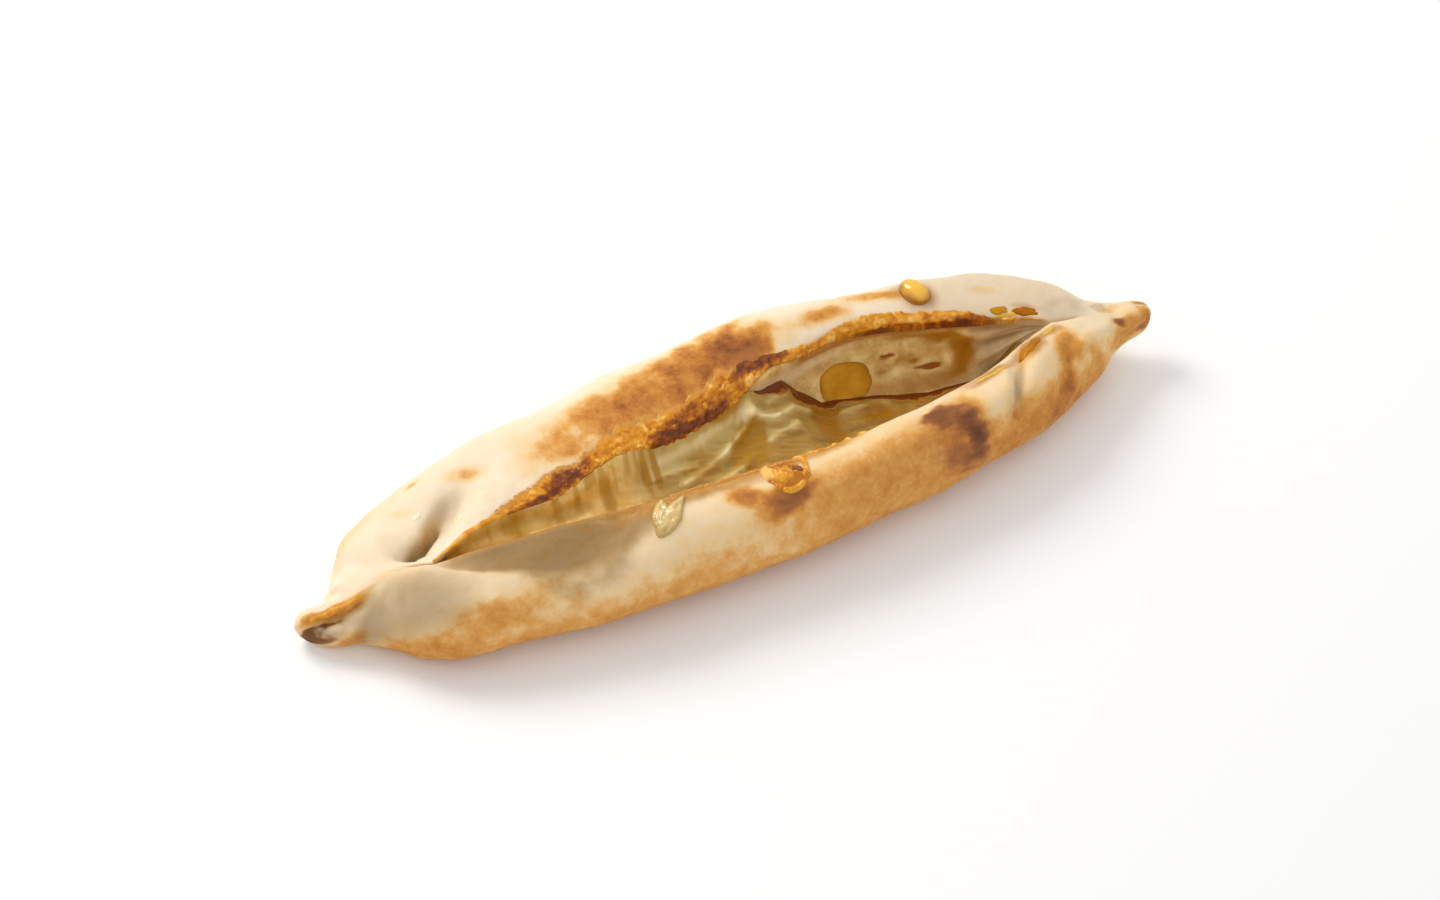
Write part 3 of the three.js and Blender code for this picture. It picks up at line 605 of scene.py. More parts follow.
# Glazed skin along each lip: x, start and end across it.
GLAZED = {
    BACK: [
        [-74, 0, 0.5], [-70, 0, 1.4], [-66, 0, 2.8], [-62, 0, 4.4], [-58, 0, 5.6], [-54, 0, 6.6],
        [-50, 0, 8.6], [-47, 0.2, 8.4], [-44, 0.8, 8.2], [-41, 2, 8.2], [-38, 2.2, 8.8], [-35, 3, 9.4],
        [-31, 3.2, 11], [-27, 2.6, 11.6], [-24, 1.2, 10.6], [-20, 0, 10.2], [-15, -0.8, 9.8],
        [-10, -0.4, 9.4], [-5, 0, 9.8], [0, -0.6, 10.2], [3, -1.2, 10.6], [6, -0.8, 10], [8, 0.5, 9.2],
        [10, 0.6, 8.6], [12, 1.2, 8], [14, 1.6, 7.4], [17, 1.8, 6.4], [20, 1.2, 5.4], [23, 0.2, 4.6],
        [26, -0.3, 3.8], [30, -0.4, 3.2], [34, -0.4, 3.4], [38, -0.4, 4.2], [44, -0.4, 4.8], [50, -0.4, 5],
        [56, -0.5, 4.6], [62, -0.6, 4.2], [68, -0.7, 3.8], [72, -0.8, 3.2], [75, -0.6, 2], [76.5, -0.4, 1.2],
        [84, -0.3, 1.2], [89.5, -0.1, 0.6],
    ],
    FRONT: [
        [-24, -0.8, 0.8], [-14, -1, 1.2], [-4, -1.2, 1.6], [4, -1.4, 2.2], [14, -1.5, 1.8], [24, -1.4, 1.4],
        [32, -1, 0.8], [38, -0.3, 0.3],
    ],
}


# How far the dough is stained under the glaze.
def under_glaze(wall, x, s, warp):
    rows = GLAZED[wall]
    start, end, first = between(rows, 1, x), between(rows, 2, x), rows[0][0]
    under = smoothstep(s, start - 0.4, start + 0.4) * falling(s + warp, end - 2.5, end - 0.2)
    return under * smoothstep(x, first, first + 2) * (x < rows[-1][0])


# Values that the crust's colours follow, on one wall.
def wall_values(wall, points, x, s):
    warp = 0.26 * noise(points, 5.0, 81, 3)
    low = smoothstep(-points[..., 2], -20, -7) * smoothstep(s, 10, 22)
    width = between(STAINED[wall], 2, x)
    if wall == FRONT:
        tanned = np.maximum(low, smoothstep(x, -22, 18) * smoothstep(s, 1.5, 15 + 4 * smoothstep(-x, 0, 20)))
        pale = smoothstep(x, 57, 64) * falling(s, 13, 21) * falling(x, 95, 102)
        # Front wall's higher base bake: partly golden baking, partly painted shade on the side away from the
        # lamp.
        tinge = 0.16 + 0.40 * tanned * (1 - 0.85 * pale)
        # Painted shade along the front lip, from the table of its widths and strengths.
        dish = between(SHADED, 2, x) * falling(s / between(SHADED, 1, x) + 0.3 * warp, 0.6, 1.1)
        inner = smoothstep(x, -50, -40) * falling(x, 14, 22) * falling(s + warp, width - 0.6, width + 0.2)
    else:
        tinge, dish = 0.05 + 0.4 * low, 0 * x
        inner = smoothstep(x, 10, 13) * falling(x, 25, 29) * falling(s, 1.6, 3)
    tinge = tinge * lerp(0.6, 1, smoothstep(np.abs(x), 112, 92))
    baked = blots(BAKED[wall], x, s, warp, 0.3)
    streaks = 0.3 * noise(points * (0.5, 1.4, 1.4), 3.0, 85, 3)
    # Painted shade from the table of shaded folds, creases, notch and dimples.
    painted_shade = blots(PAINTED_SHADE[wall], x, s, 0.6 * warp * smoothstep(x, -84, -70), 0.6)
    runs = noise(points * (1, 0.2, 0.2), 2.6, 87, 2)
    runs = 1 - 0.6 * smoothstep(width, 1, 2) * smoothstep(runs, -0.3, 0.4)
    stain = between(STAINED[wall], 1, x) * falling(s, 0.5 * width, width) * runs
    dripped = blots(DRIPPED[wall], x, s, 0.8 * warp)
    # The painted shade along the front lip browns the dough a little as well as greying it.
    return {
        "bake": 1 - (1 - tinge) * (1 - baked) * (1 - 0.16 * dish),
        "scorch": blots(SCORCHED[wall], x, s, warp + streaks, 0.3),
        "painted_shade": 1 - (1 - painted_shade) * (1 - dish),
        "honey": np.maximum.reduce([stain, 0.8 * under_glaze(wall, x, s, warp), dripped]),
        "inner": inner,
    }


# The same values inside the hollow.
def hollow_values(points, s, total):
    x = points[..., 0]
    middle, half, _, _, _ = (np.asarray(v)[..., None] for v in hollow_shape(x[:, 0]))
    degrees = np.degrees(np.arccos(np.clip((points[..., 1] - middle) / np.maximum(half, 0.1), -1, 1)))
    warp = 0.16 * noise(points, 5.0, 82, 2)
    opened = smoothstep(half, 0.2, 1.5)
    throat = smoothstep(x, 69, 76)
    edge = {BACK: s, FRONT: total - s}
    stain = [between(STAINED[wall], 1, x) * falling(edge[wall], 0.6, STAIN_IN_HOLLOW) for wall in edge]
    stain = np.maximum(*stain) * (1 - 0.75 * throat)
    low = opened * smoothstep(degrees, 100, 130) * 0.7
    pleats = smoothstep(-throat_folds(x, s / total), -0.5, 0.5)
    left = smoothstep(-x, 70, 77) * (x > SLOT_START)
    torn = smoothstep(x, 8, 12) * falling(x, 30, 46) * falling(s, 3, 7)
    inner = np.maximum(opened, left) * smoothstep(s, -0.5, 1.5) * smoothstep(total - s, -0.5, 1.5)
    seeped = blots(SEEPED, x, degrees, warp, 0.6)
    return {
        "bake": 0.15 + 0 * x,
        "scorch": blots(FLECKS, x, degrees, 2 * warp, 0.4),
        # Painted shade between the throat's folds and deeper down the hollow.
        "painted_shade": opened * np.maximum(throat * lerp(0.25, 0.95, pleats), 0.35 * smoothstep(degrees, 50, 75)),
        "honey": np.maximum.reduce([low * (1 - throat), stain, 0.95 * left, seeped]),
        "inner": inner * (1 - 0.7 * throat) * (1 - 0.6 * torn),
    }


# The dough's skin: rings from the front lip round the underside to the back lip, then through the hollow.
def add_bread(material):
    t = (np.arange(BREAD_RINGS) + 0.5) / BREAD_RINGS
    x = LENGTH * (t - TIP_CROWDING * np.sin(2 * math.pi * t) / (2 * math.pi)) - LENGTH / 2
    columns, values = [], []
    for wall in SIDE:
        total = length_of(wall_curve(wall, x))[:, None]
        s = np.linspace(0, 1, WALL_POINTS)[None, :] ** LIP_CROWDING * total
        points = outside(wall, x, s)
        value = wall_values(wall, points, points[..., 0], s)
        if wall == BACK:
            points, value = points[:, -2::-1], {key: v[:, -2::-1] for key, v in value.items()}
        columns.append(points)
        values.append(value)
    total = length_of(hollow_curve(x))[:, None]
    share = np.linspace(0, 1, HOLLOW_POINTS)[None, 1:-1]
    s = share * total
    bridge = lerp(columns[1][:, -1:], columns[0][:, :1], share[..., None])
    within = lerp(bridge, inside(x, s), smoothstep(section(x)["open"], 0, 0.5)[:, None, None])
    values.append(hollow_values(within, s, total))
    grid = np.concatenate(columns + [within], axis=1)
    value = {key: np.concatenate([v[key] for v in values], axis=1).reshape(-1) for key in values[0]}
    rows, width = grid.shape[:2]
    faces, points = ring_faces(rows, width), grid.reshape(-1, 3)
    for row, end in ((0, -LENGTH / 2), (rows - 1, LENGTH / 2)):
        tip = grid[row].mean(axis=0)
        tip[0] = end
        ring = [row * width + i for i in range(width)]
        faces += [(len(points), ring[i], ring[(i + 1) % width])[:: 1 if row else -1] for i in range(width)]
        points = np.vstack([points, tip])
        value = {key: np.append(v, v[row * width]) for key, v in value.items()}
    add_mesh("crust", points, faces, value, material, "bread")


# Points round a lip: distance s on the outer skin, or minus s down the hollow.
def rim(wall, x, s, lift):
    out = outside(wall, x, np.maximum(s, 0), lift)
    total = length_of(hollow_curve(x))[:, None]
    down = np.maximum(-s, 0)
    within = inside(x, down if wall == BACK else total - down, lift)
    return np.where((s < 0)[..., None], within, out)


# How far up the back wall the labneh's skin hangs from: x, distance from the lip.
HUNG = [
    [-84, 0.1], [-78, 0.4], [-52, 0.5], [-47, 0.9], [-43, 1.9], [-38, 2.9], [-31, 3.7], [-26, 3.1], [-20, 1],
    [-12, 0.6], [2, 0.6], [8, 0.8], [14, 0.4],
]
HANG_REACH = 5.0

# Browned rim of the labneh along its torn back edge: x and width.
TORN = [
    [10, 0], [13, 1], [17, 2.6], [22, 4], [26, 4.4], [30, 2.6], [35, 1.4], [42, 1.3], [48, 2.6], [54, 3.6],
    [60, 2.6], [66, 1.2], [72, 0],
]

# Distance from the back edge that stands for the labneh's belly, which has no colours of its own.
PAST_THE_SKIN = 99.0

# Honey pooled on the labneh: x and share of the way to its front edge, half sizes, strength, turn.
POOLED = [
    (4.5, 0.45, 4.8, 0.22, 0.95), (13, 0.62, 5, 0.12, 0.4), (2, 0, 6, 0.08, 0.8), (8, 0.31, 2.6, 0.08, 0.6),
    (30.5, 0.1, 3.4, 0.16, 0.95), (28, 0.38, 3.2, 0.26, 0.95), (42, 0.42, 3.6, 0.2, 0.95),
    (47, 0.62, 6, 0.2, 0.5), (60, 0.3, 8, 0.3, 0.5), (-9, 0.38, 4.5, 0.16, 0.6), (-24.4, 0.2, 0.9, 0.3, 0.8),
    (-21.4, 0.22, 0.9, 0.26, 0.8), (-36, 0.35, 1.6, 0.3, 0.7), (-50, 0.4, 1.1, 0.5, 0.6),
    (-62, 0.4, 1.1, 0.6, 0.6), (-47, 0.3, 5, 0.14, 0.5), (-58, 0.3, 6, 0.3, 0.6), (-72, 0.4, 12, 0.6, 0.6),
]


# The labneh's skin, with its back edge bent up to hang from the lip.
def hung_skin(x, s):
    points = labneh_skin(x, s)
    start = between(HUNG, 1, x)[:, None]
    land = np.minimum(HANG_REACH, 0.3 * length_of(skin_curve(x)))[:, None]
    lip, ends = rim(BACK, x, start + [[0.4, 0]], 0.3), labneh_skin(x, land + [[0, 0.4]])
    gap = np.linalg.norm(ends[:, 0] - lip[:, 1], axis=1)[:, None]
    slopes = (v[:, 1] - v[:, 0] for v in (lip, ends))
    leave, arrive = (gap * slope / np.linalg.norm(slope, axis=1)[:, None] for slope in slopes)
    u = np.clip(s / land, 0, 1)[..., None]
    weights = run_weights(u)
    fall = weights[0] * lip[:, 1:] + weights[1] * leave[:, None]
    fall = fall + weights[2] * ends[:, :1] + weights[3] * arrive[:, None]
    share = smoothstep(x, -84, -82) * falling(x, 8, 14)
    return lerp(points, fall, share[:, None, None] * (u < 1))


# The labneh: a fine wrinkled skin over a coarse belly that follows the hollow.
def add_labneh(material):
    first, last = FILL[0][0], FILL[-1][0]
    x = np.linspace(first, last, SKIN_ROWS)
    total = length_of(skin_curve(x))[:, None]
    s = np.linspace(0, 1, SKIN_POINTS)[None, :] * total
    back_angle, front_angle = (angle[:, None] for angle in fill_angles(x))
    share = np.linspace(0, 1, BELLY_POINTS)[None, 1:-1]
    belly = with_x(x, hollow_at(x[:, None], lerp(front_angle, back_angle, share)))
    grid = np.concatenate([hung_skin(x, s), belly], axis=1)
    middle = grid.mean(axis=1, keepdims=True)
    size = np.clip(np.minimum((x - first) / 2, (last - x) / 2), 0.02, 1)[:, None, None]
    grid = middle + (grid - middle) * size
    relief = np.concatenate([labneh_relief(x, s)[2], 0 * belly[..., 0]], axis=1)
    s = np.concatenate([s, np.full(belly.shape[:2], PAST_THE_SKIN)], axis=1)
    values = labneh_values(grid, np.broadcast_to(x[:, None], s.shape), s, total, relief)
    faces = tube_faces(*grid.shape[:2], turned=True)
    add_mesh("labneh_skin", grid.reshape(-1, 3), faces, values, material, "labneh")


# Values that the labneh's colours follow.
def labneh_values(points, x, s, total, relief):
    warp = noise(points, 3.0, 101, 2)
    thick = between(TORN, 1, x) * (1 + 0.45 * warp)
    leftmost = smoothstep(-x, 36, 52)
    near_edge = falling(total - s, 0.6, lerp(2.4, 4.5, leftmost)) * lerp(0.5, 0.95, leftmost)
    pools = blots(POOLED, x, s / total, 0.3 * warp, 0.75)
    hung = falling(s, 2, 1.2 * HANG_REACH) * falling(x, 8, 14)
    runs = hung * smoothstep(-x, 16, 24) * smoothstep(noise(points * (1, 0.15, 0.15), 2.8, 88, 2), -0.1, 0.5)
    front_half = smoothstep(s / total, 0.45, 1.0) * smoothstep(x, -40, -10)
    # Besides the bumps, relief sets the painted light and shade of the labneh's colour.
    return {
        "brown": smoothstep(thick, 0.1, 0.5) * falling(s, thick * 0.6, thick * 1.3 + 0.3),
        "relief": relief + 0.7 * hung,
        "left": smoothstep(-x, 20, 34),
        "honey": 1 - (1 - near_edge) * (1 - pools) * (1 - 0.6 * runs),
        "shade": np.maximum.reduce([front_half, 0.95 * smoothstep(x, 6, 26), near_edge]),
    }


# Larger bubbles in the glaze: x, distance from the lip, reach.
FOAM = {
    BACK: [
        (-50, 8.5, 1.5), (-31, 10, 1.4), (-27.5, 10.8, 1.2), (-22, 8.8, 1.3), (-20, 9.4, 1), (-17, 8, 1.2),
        (5, 8, 1.5), (3.5, -0.2, 1.2), (5, 1.6, 1), (10, 2.8, 1.8), (9, 4.4, 1.3), (66.5, 0.2, 1),
        (70, 0.3, 1.1), (63.5, 0.1, 0.9),
    ],
    FRONT: [(2, 0.6, 1), (9.5, 0.2, 1.1), (14.5, 0.4, 1), (19, 0.2, 0.9), (25, 0, 0.9)],
}

# Where it has burnt: x and distance from the lip, half sizes, strength, turn.
GLAZE_BURNS = {
    BACK: [
        (-45, 4.4, 6.5, 2.5, 1, 16), (-54, 1.2, 5, 0.9, 0.85, 10), (-61, 0.6, 4, 0.6, 0.55, 8),
        (-39, 2, 3, 1, 0.6), (-15, 2.8, 6, 2.2, 0.9), (-8, 2, 8, 1.4, 0.85), (-2, 1.6, 5, 1.2, 0.85),
        (-8, 5.6, 7, 1.9, 0.5), (4, 4, 7, 1.6, 0.2), (-6, -1, 13, 1.3, 0.8), (54, 0.3, 7, 0.7, 0.5),
        (72, 0.6, 5, 1.2, 0.6), (5, 6, 4, 0.9, 0.45, -10), (9.5, 7.8, 2.4, 0.9, 0.85, -12),
        (14, 5.4, 8, 2.2, 0.95, -14), (48.5, -0.2, 4, 0.5, 0.85), (67, -0.1, 6, 0.8, 0.95),
    ],
    FRONT: [(9.5, 0.2, 2, 0.9, 0.9), (20, -0.6, 6, 0.6, 0.4), (-8, -0.6, 6, 0.6, 0.4)],
}

# How rough the glaze is along each lip: x and height.
ROUGH = {
    BACK: [[-74, 0.25], [-50, 0.4], [-38, 0.75], [4, 0.7], [12, 0.5], [24, 0.22], [90, 0.16]],
    FRONT: [[-24, 0.4], [38, 0.4]],
}

# Small bubbles for each mm of lip, and their reach.
BUBBLES_PER_MM, BUBBLE_REACH = 1.3, (0.35, 1.0)

# Thickness of the film that the glaze runs out in, and how deep its edge and its underside sit in the dough.
FILM, GLAZE_SINK, GLAZE_BED = 0.33, 0.25, 0.6


# Bubbles set in a skin, some of them only rings: height at each (x, s). Small ones are scattered between the
# larger.
def bubbles(x, s, larger, count, seed, across):
    rng = np.random.default_rng(seed)
    spans = (x.min(), x.max()), across, BUBBLE_REACH
    scattered = [tuple(rng.uniform(*span) for span in spans) for _ in range(count)]
    height = np.zeros(x.shape)
    for at_x, at_s, reach in scattered + larger:
        near = np.abs(x[:, 0] - at_x) < reach * 1.6
        away = np.hypot(x[near] - at_x, (s[near] - at_s) * rng.uniform(0.8, 1.2))
        dome = 0.65 * np.sqrt(np.clip(reach**2 - away**2, 0, None))
        ring = 0.4 * np.exp(-(((away - reach) / 0.22) ** 2))
        height[near] = np.maximum(height[near], dome if rng.random() < 0.6 else ring)
    return height


# A wrinkled, glazed skin lying along a lip, closed underneath. It ends plump at its lower edge and runs out
# thin at its upper edge, over the distance `feather`.
def add_glaze(name, wall, step, columns, seed, thick, feather, material):
    rows = GLAZED[wall]
    x = np.arange(rows[0][0], rows[-1][0], step)
    x2 = np.broadcast_to(x[:, None], (len(x), columns))
    ragged = 1 + 0.12 * noise(np.stack([x2, 0 * x2, 0 * x2], axis=-1), 4.0, seed, 3)
    start, end = between(rows, 1, x)[:, None], between(rows, 2, x)[:, None] * ragged
    s = lerp(start, end, np.linspace(0, 1, columns)[None, :])
    place = np.stack([x2, s, 0 * s], axis=-1)
    frayed = end - s + 0.8 * noise(place, 1.8, seed + 7, 2) * smoothstep(end - s, 0, 1)
    plump = smoothstep(s - start, 0, 0.6) * smoothstep(frayed, 0, np.minimum(feather, 0.75 * (end - start)))
    slanted = place * (1, 0.7, 1) + (0.25, 0, 0) * s[..., None]
    wrinkles = noise(slanted * (0.6, 1, 1), 1.3, seed + 5, 2)
    waves = noise(place * (0.7, 1, 1), 2.2, seed + 9, 3)
    count = int(BUBBLES_PER_MM * len(x) * step)
    foam = bubbles(x2, s, FOAM[wall], count, seed, (start.min(), end.max()))
    height = 0.4 * wrinkles + 0.45 * waves + foam
    film = FILM * smoothstep(frayed, 0, 1.4) * smoothstep(s - start, 0, 0.6)
    rough = between(ROUGH[wall], 1, x2) * np.maximum(height, -0.4)
    lift = -GLAZE_SINK + film + plump * (thick - FILM + lerp(0.3, 1, plump) * rough)
    under = rim(wall, x, s, np.full(s.shape, -GLAZE_BED))
    grid = np.concatenate([rim(wall, x, s, lift), under[:, ::-1]], axis=1)
    streaks = noise(slanted, 2.2, seed + 3, 3)
    burn = blots(GLAZE_BURNS[wall], x2, s, 0.35 * noise(place, 2.2, seed + 4, 2) + 0.3 * streaks)
    values = {
        "burn": np.clip(burn + 0.15 * streaks - 0.06 * smoothstep(x2, 18, 28), -0.1, 1),
        "height": 0.5 + 0.5 * height,
        "border": falling(frayed, 0.5, 4) * (1 - 0.9 * smoothstep(x2, 5, 11)),
    }
    values = {key: np.concatenate([value, value[:, ::-1]], axis=1) for key, value in values.items()}
    faces = tube_faces(*grid.shape[:2], turned=wall == FRONT)
    add_mesh(name, grid.reshape(-1, 3), faces, values, material)


# How deep a drop or run sits in what carries it, and how often a run's path is smoothed.
SINK, SMOOTHINGS = 0.25, 6


# A drop or pool on a surface: a closed lens with a warped outline. `surface` gives points for x, a distance
# s and a lift. `half` is its two half lengths and `turn` turns the long one.
def lens(surface, at, half, turn, rise, seed, tail=0.0, wobble=0.3, crumple=0.0, square=2.0, rings=14,
         spokes=48):
    around = np.linspace(0, 2 * math.pi, spokes, endpoint=False)
    circle = np.stack([np.cos(around), np.sin(around), 0 * around], axis=-1)
    edge = 1 + wobble * noise(circle + seed, 0.8, seed, 2)
    edge = edge / (np.abs(np.cos(around)) ** square + np.abs(np.sin(around)) ** square) ** (1 / square)
    share = np.sin(np.linspace(0, math.pi / 2, rings + 1))[1:, None]
    narrow = 1 - tail * np.maximum(0, np.cos(around)) * share
    long, wide = half[0] * share * np.cos(around) * edge, half[1] * share * np.sin(around) * edge * narrow
    cos, sin = cos_sin(turn)
    x = np.append(at[0] + long * cos + wide * sin, at[0])
    s = np.append(at[1] - long * sin + wide * cos, at[1])
    full = np.append(np.sqrt(1 - share**2) + 0 * around, 1.0)
    place = np.stack([x, s, 0 * x], axis=-1)
    height = rise * full + crumple * np.sqrt(full) * (1 - 2 * np.abs(noise(place, 2.4, seed + 1, 2)))
    top = surface(x, s[:, None], (height - SINK)[:, None])[:, 0]
    under = surface(x, s[:, None], np.full((len(x), 1), -2 * SINK))[:, 0]
    count, edge_start = rings * spokes + 1, (rings - 1) * spokes
    faces = []
    for start, turned in ((0, False), (count, True)):
        faces += ring_faces(rings, spokes, start, turned)
        for i in range(spokes):
            face = (start + count - 1, start + (i + 1) % spokes, start + i)
            faces.append(face[::-1] if turned else face)
    for i in range(spokes):
        a, b = edge_start + i, edge_start + (i + 1) % spokes
        faces.append((a, b, count + b, count + a))
    return np.vstack([top, under]), faces, np.concatenate([full, full])


# A run of honey along a path on a surface: a closed ribbon with a domed top and tapered ends. `half` gives
# its half width at each point of the path.
def trail(surface, path, half, rise, seed, wobble=0.15, steps=40, columns=15):
    path = np.asarray(path, float)
    knots = distances(path[None])[0]
    run = np.linspace(0, knots[-1], steps)
    centre = np.stack([np.interp(run, knots, path[:, axis]) for axis in (0, 1)], axis=1)
    for _ in range(SMOOTHINGS):
        centre[1:-1] = (centre[:-2] + 2 * centre[1:-1] + centre[2:]) / 4
    forward = np.gradient(centre, axis=0)
    forward /= np.linalg.norm(forward, axis=1, keepdims=True)
    across = np.stack([-forward[:, 1], forward[:, 0]], axis=1)[:, None, :]
    width = np.interp(run, knots, half)
    from_end = np.clip(np.minimum(run, run[-1] - run) / np.minimum(width, run[-1] / 2), 0, 1)
    c = np.sin(np.linspace(-math.pi / 2, math.pi / 2, columns))[None, :]
    width = c * (width * np.sqrt(np.clip(1 - (1 - from_end) ** 2, 0.01, 1)))[:, None]
    place = centre[:, None, :] + across * width[..., None]
    place = np.concatenate([place, np.zeros(place.shape[:2] + (1,))], axis=-1)
    ragged = 1 + wobble * noise(place + seed, 3.0, seed, 2)
    place = centre[:, None, :] + across * (width * ragged)[..., None]
    full = np.sqrt(1 - c**2) * np.sqrt(np.clip(from_end[:, None], 0.02, 1))
    x, s = place[..., 0].reshape(-1), place[..., 1].reshape(-1, 1)
    top = surface(x, s, (rise * full - SINK).reshape(-1, 1)).reshape(steps, columns, 3)
    under = surface(x, s, np.full(s.shape, -2 * SINK)).reshape(steps, columns, 3)
    grid = np.concatenate([top, under[:, ::-1]], axis=1)
    full = np.concatenate([full, full[:, ::-1]], axis=1)
    return grid.reshape(-1, 3), tube_faces(steps, 2 * columns), full.reshape(-1)


# Place in the hollow at x and some degrees round it, as x and the distance down from the back lip.
def down(x, degrees):
    curve = hollow_curve([x])
    return x, np.interp(math.radians(degrees), np.linspace(0, math.pi, curve.shape[1]), distances(curve)[0])


# Joins closed shapes into one piece. Each shape comes with its tone. A glazed piece takes the glaze's values.
def add_shapes(name, material, shapes, replaced=None, glazed=False):
    points, faces, full, tones = [], [], [], []
    for (place, quads, height), tone in shapes:
        start = sum(len(p) for p in points)
        faces += [tuple(start + i for i in quad) for quad in quads]
        points.append(place)
        full.append(height)
        tones.append(np.full(len(place), tone))
    values = {"full": np.concatenate(full), "burn" if glazed else "tone": np.concatenate(tones)}
    if glazed:
        values["height"], values["border"] = 0 * values["full"] + 0.5, 0 * values["full"]
    add_mesh(name, np.vstack(points), faces, values, material, replaced)


# One material and its nodes. A socket takes a value, a colour or another node's output.
class Look:
    def __init__(self, name):
        self.material = bpy.data.materials.new(name)
        self.material.use_nodes = True
        self.tree = self.material.node_tree
        self.tree.nodes.clear()
        surface = self.node("BsdfPrincipled")
        self.shader = surface.node
        self.tree.links.new(surface, self.tree.nodes.new("ShaderNodeOutputMaterial").inputs[0])
        self.place = self.node("TexCoord", output="Object")

    def node(self, kind, settings=(), sockets=(), output=0):
        node = self.tree.nodes.new("ShaderNode" + kind)
        for key, value in dict(settings).items():
            setattr(node, key, value)
        self.plug(node, dict(sockets))
        return node.outputs[output]

    def plug(self, node, sockets):
        for key, value in sockets.items():
            socket = node.inputs[key]
            if isinstance(value, bpy.types.NodeSocket):
                self.tree.links.new(value, socket)
            else:
                socket.default_value = (*value, 1.0) if socket.type == "RGBA" else value

    def mix(self, factor, a, b, blend="MIX"):
        return self.node("Mix", {"data_type": "RGBA", "blend_type": blend}, {0: factor, 6: a, 7: b}, 2)

    def tint(self, shade, *rgb):
        return self.mix(1.0, shade, rgb, "MULTIPLY")

    def calculate(self, operation, *values):
        return self.node("Math", {"operation": operation}, enumerate(values))

    def ramp(self, value, low, high, to_low=0.0, to_high=1.0):
        sockets = {"Value": value, "From Min": low, "From Max": high, "To Min": to_low, "To Max": to_high}
        return self.node("MapRange", {"interpolation_type": "SMOOTHSTEP"}, sockets)

    # Colours along a value from 0 to 1, as (place, colour) stops.
    def scale(self, value, *stops):
        result = self.node("ValToRGB", sockets={"Fac": value})
        elements = result.node.color_ramp.elements
        while len(elements) < len(stops):
            elements.new(0.5)
        for element, (at, rgb) in zip(elements, stops):
            element.position, element.color = at, (*rgb, 1.0)
        return result

    def cloud(self, size_mm, detail=4.0, roughness=0.55, distortion=0.0):
        return self.node("TexNoise", sockets={
            "Vector": self.place, "Scale": 1 / (size_mm * MM), "Detail": detail, "Roughness": roughness,
            "Distortion": distortion,
        })

    def value(self, name):
        return self.node("Attribute", {"attribute_name": name}, output="Fac")

    # A value pushed up and down by noise.
    def pushed(self, value, by, spread):
        return self.calculate("MULTIPLY_ADD", self.calculate("SUBTRACT", by, 0.5), spread, value)

    def bump(self, height, strength, distance_mm, **under):
        sockets = {"Strength": strength, "Distance": distance_mm * MM, "Height": height, **under}
        return self.node("Bump", sockets=sockets)

    # Sets the shader's sockets. `glow` is how much light goes in and how many mm red, green and blue spread.
    def finish(self, colour, roughness, specular, glow, coat=(0.0, 0.03), **others):
        weight, *spread = glow
        self.plug(self.shader, {
            "Base Color": colour, "Roughness": roughness, "Specular IOR Level": specular,
            "Coat Weight": coat[0], "Coat Roughness": coat[1], "Subsurface Weight": weight,
            "Subsurface Scale": 1.0, "Subsurface Radius": [reach * MM for reach in spread], **others,
        })
        return self.material


# Baked dough: cream, golden, toasted, brown and scorched along one scale, with mottling and freckles.
def crust_material():
    look = Look("baked_crust")
    broad, mottle, fine = look.cloud(18, 3), look.cloud(4.5, 6, 0.62, 0.3), look.cloud(1.2, 5, 0.65)
    bake, scorch, painted_shade, inner, honey = map(look.value, ("bake", "scorch", "painted_shade", "inner", "honey"))
    baked = look.pushed(bake, mottle, look.ramp(bake, 0, 0.6, 0.12, 0.5))
    baked = look.pushed(baked, fine, look.ramp(bake, 0.1, 0.7, 0.08, 0.3))
    skin = look.scale(
        look.pushed(baked, broad, 0.12),
        (0.00, (0.88, 0.73, 0.55)), (0.14, (0.85, 0.66, 0.42)), (0.30, (0.84, 0.58, 0.28)),
        (0.48, (0.72, 0.36, 0.09)), (0.66, (0.57, 0.225, 0.035)), (0.84, (0.35, 0.11, 0.02)),
        (1.00, (0.16, 0.045, 0.014)),
    )
    # Painted shade: the dough tinted towards grey brown where the shade value is high.
    skin = look.mix(painted_shade, skin, look.tint(skin, 0.43, 0.375, 0.29))
    burnt = look.pushed(scorch, mottle, look.ramp(scorch, 0, 0.5, 0, 0.5))
    burnt = look.pushed(burnt, fine, look.ramp(scorch, 0, 0.5, 0, 0.35))
    dark = look.scale(
        burnt, (0.2, (0.47, 0.175, 0.045)), (0.6, (0.26, 0.088, 0.028)), (1.0, (0.085, 0.032, 0.018)),
    )
    # The same painted shade over the scorch.
    dark = look.mix(painted_shade, dark, look.tint(dark, 0.35, 0.5, 0.5))
    skin = look.mix(look.ramp(burnt, 0.02, 0.42), skin, dark)
    moist = look.mix(look.ramp(mottle, 0.3, 0.7), (0.96, 0.72, 0.32), (0.60, 0.38, 0.095))
    # The same painted shade over the moist inside of the hollow.
    moist = look.mix(painted_shade, moist, look.tint(moist, 0.60, 0.56, 0.60))
    moist = look.mix(look.ramp(burnt, 0.15, 0.6), moist, (0.34, 0.09, 0.006))
    skin = look.mix(inner, skin, moist)
    skin = look.mix(honey, skin, look.mix(mottle, (0.56, 0.23, 0.008), (0.36, 0.13, 0.003)))
    wet = look.ramp(look.calculate("MAXIMUM", inner, honey), 0, 1, 0.66, 0.3)
    relief = look.bump(mottle, 0.35, 0.6, Normal=look.bump(fine, 0.4, 0.3))
    return look.finish(skin, wet, 0.22, (0.15, 3.0, 1.6, 0.8), Normal=relief)


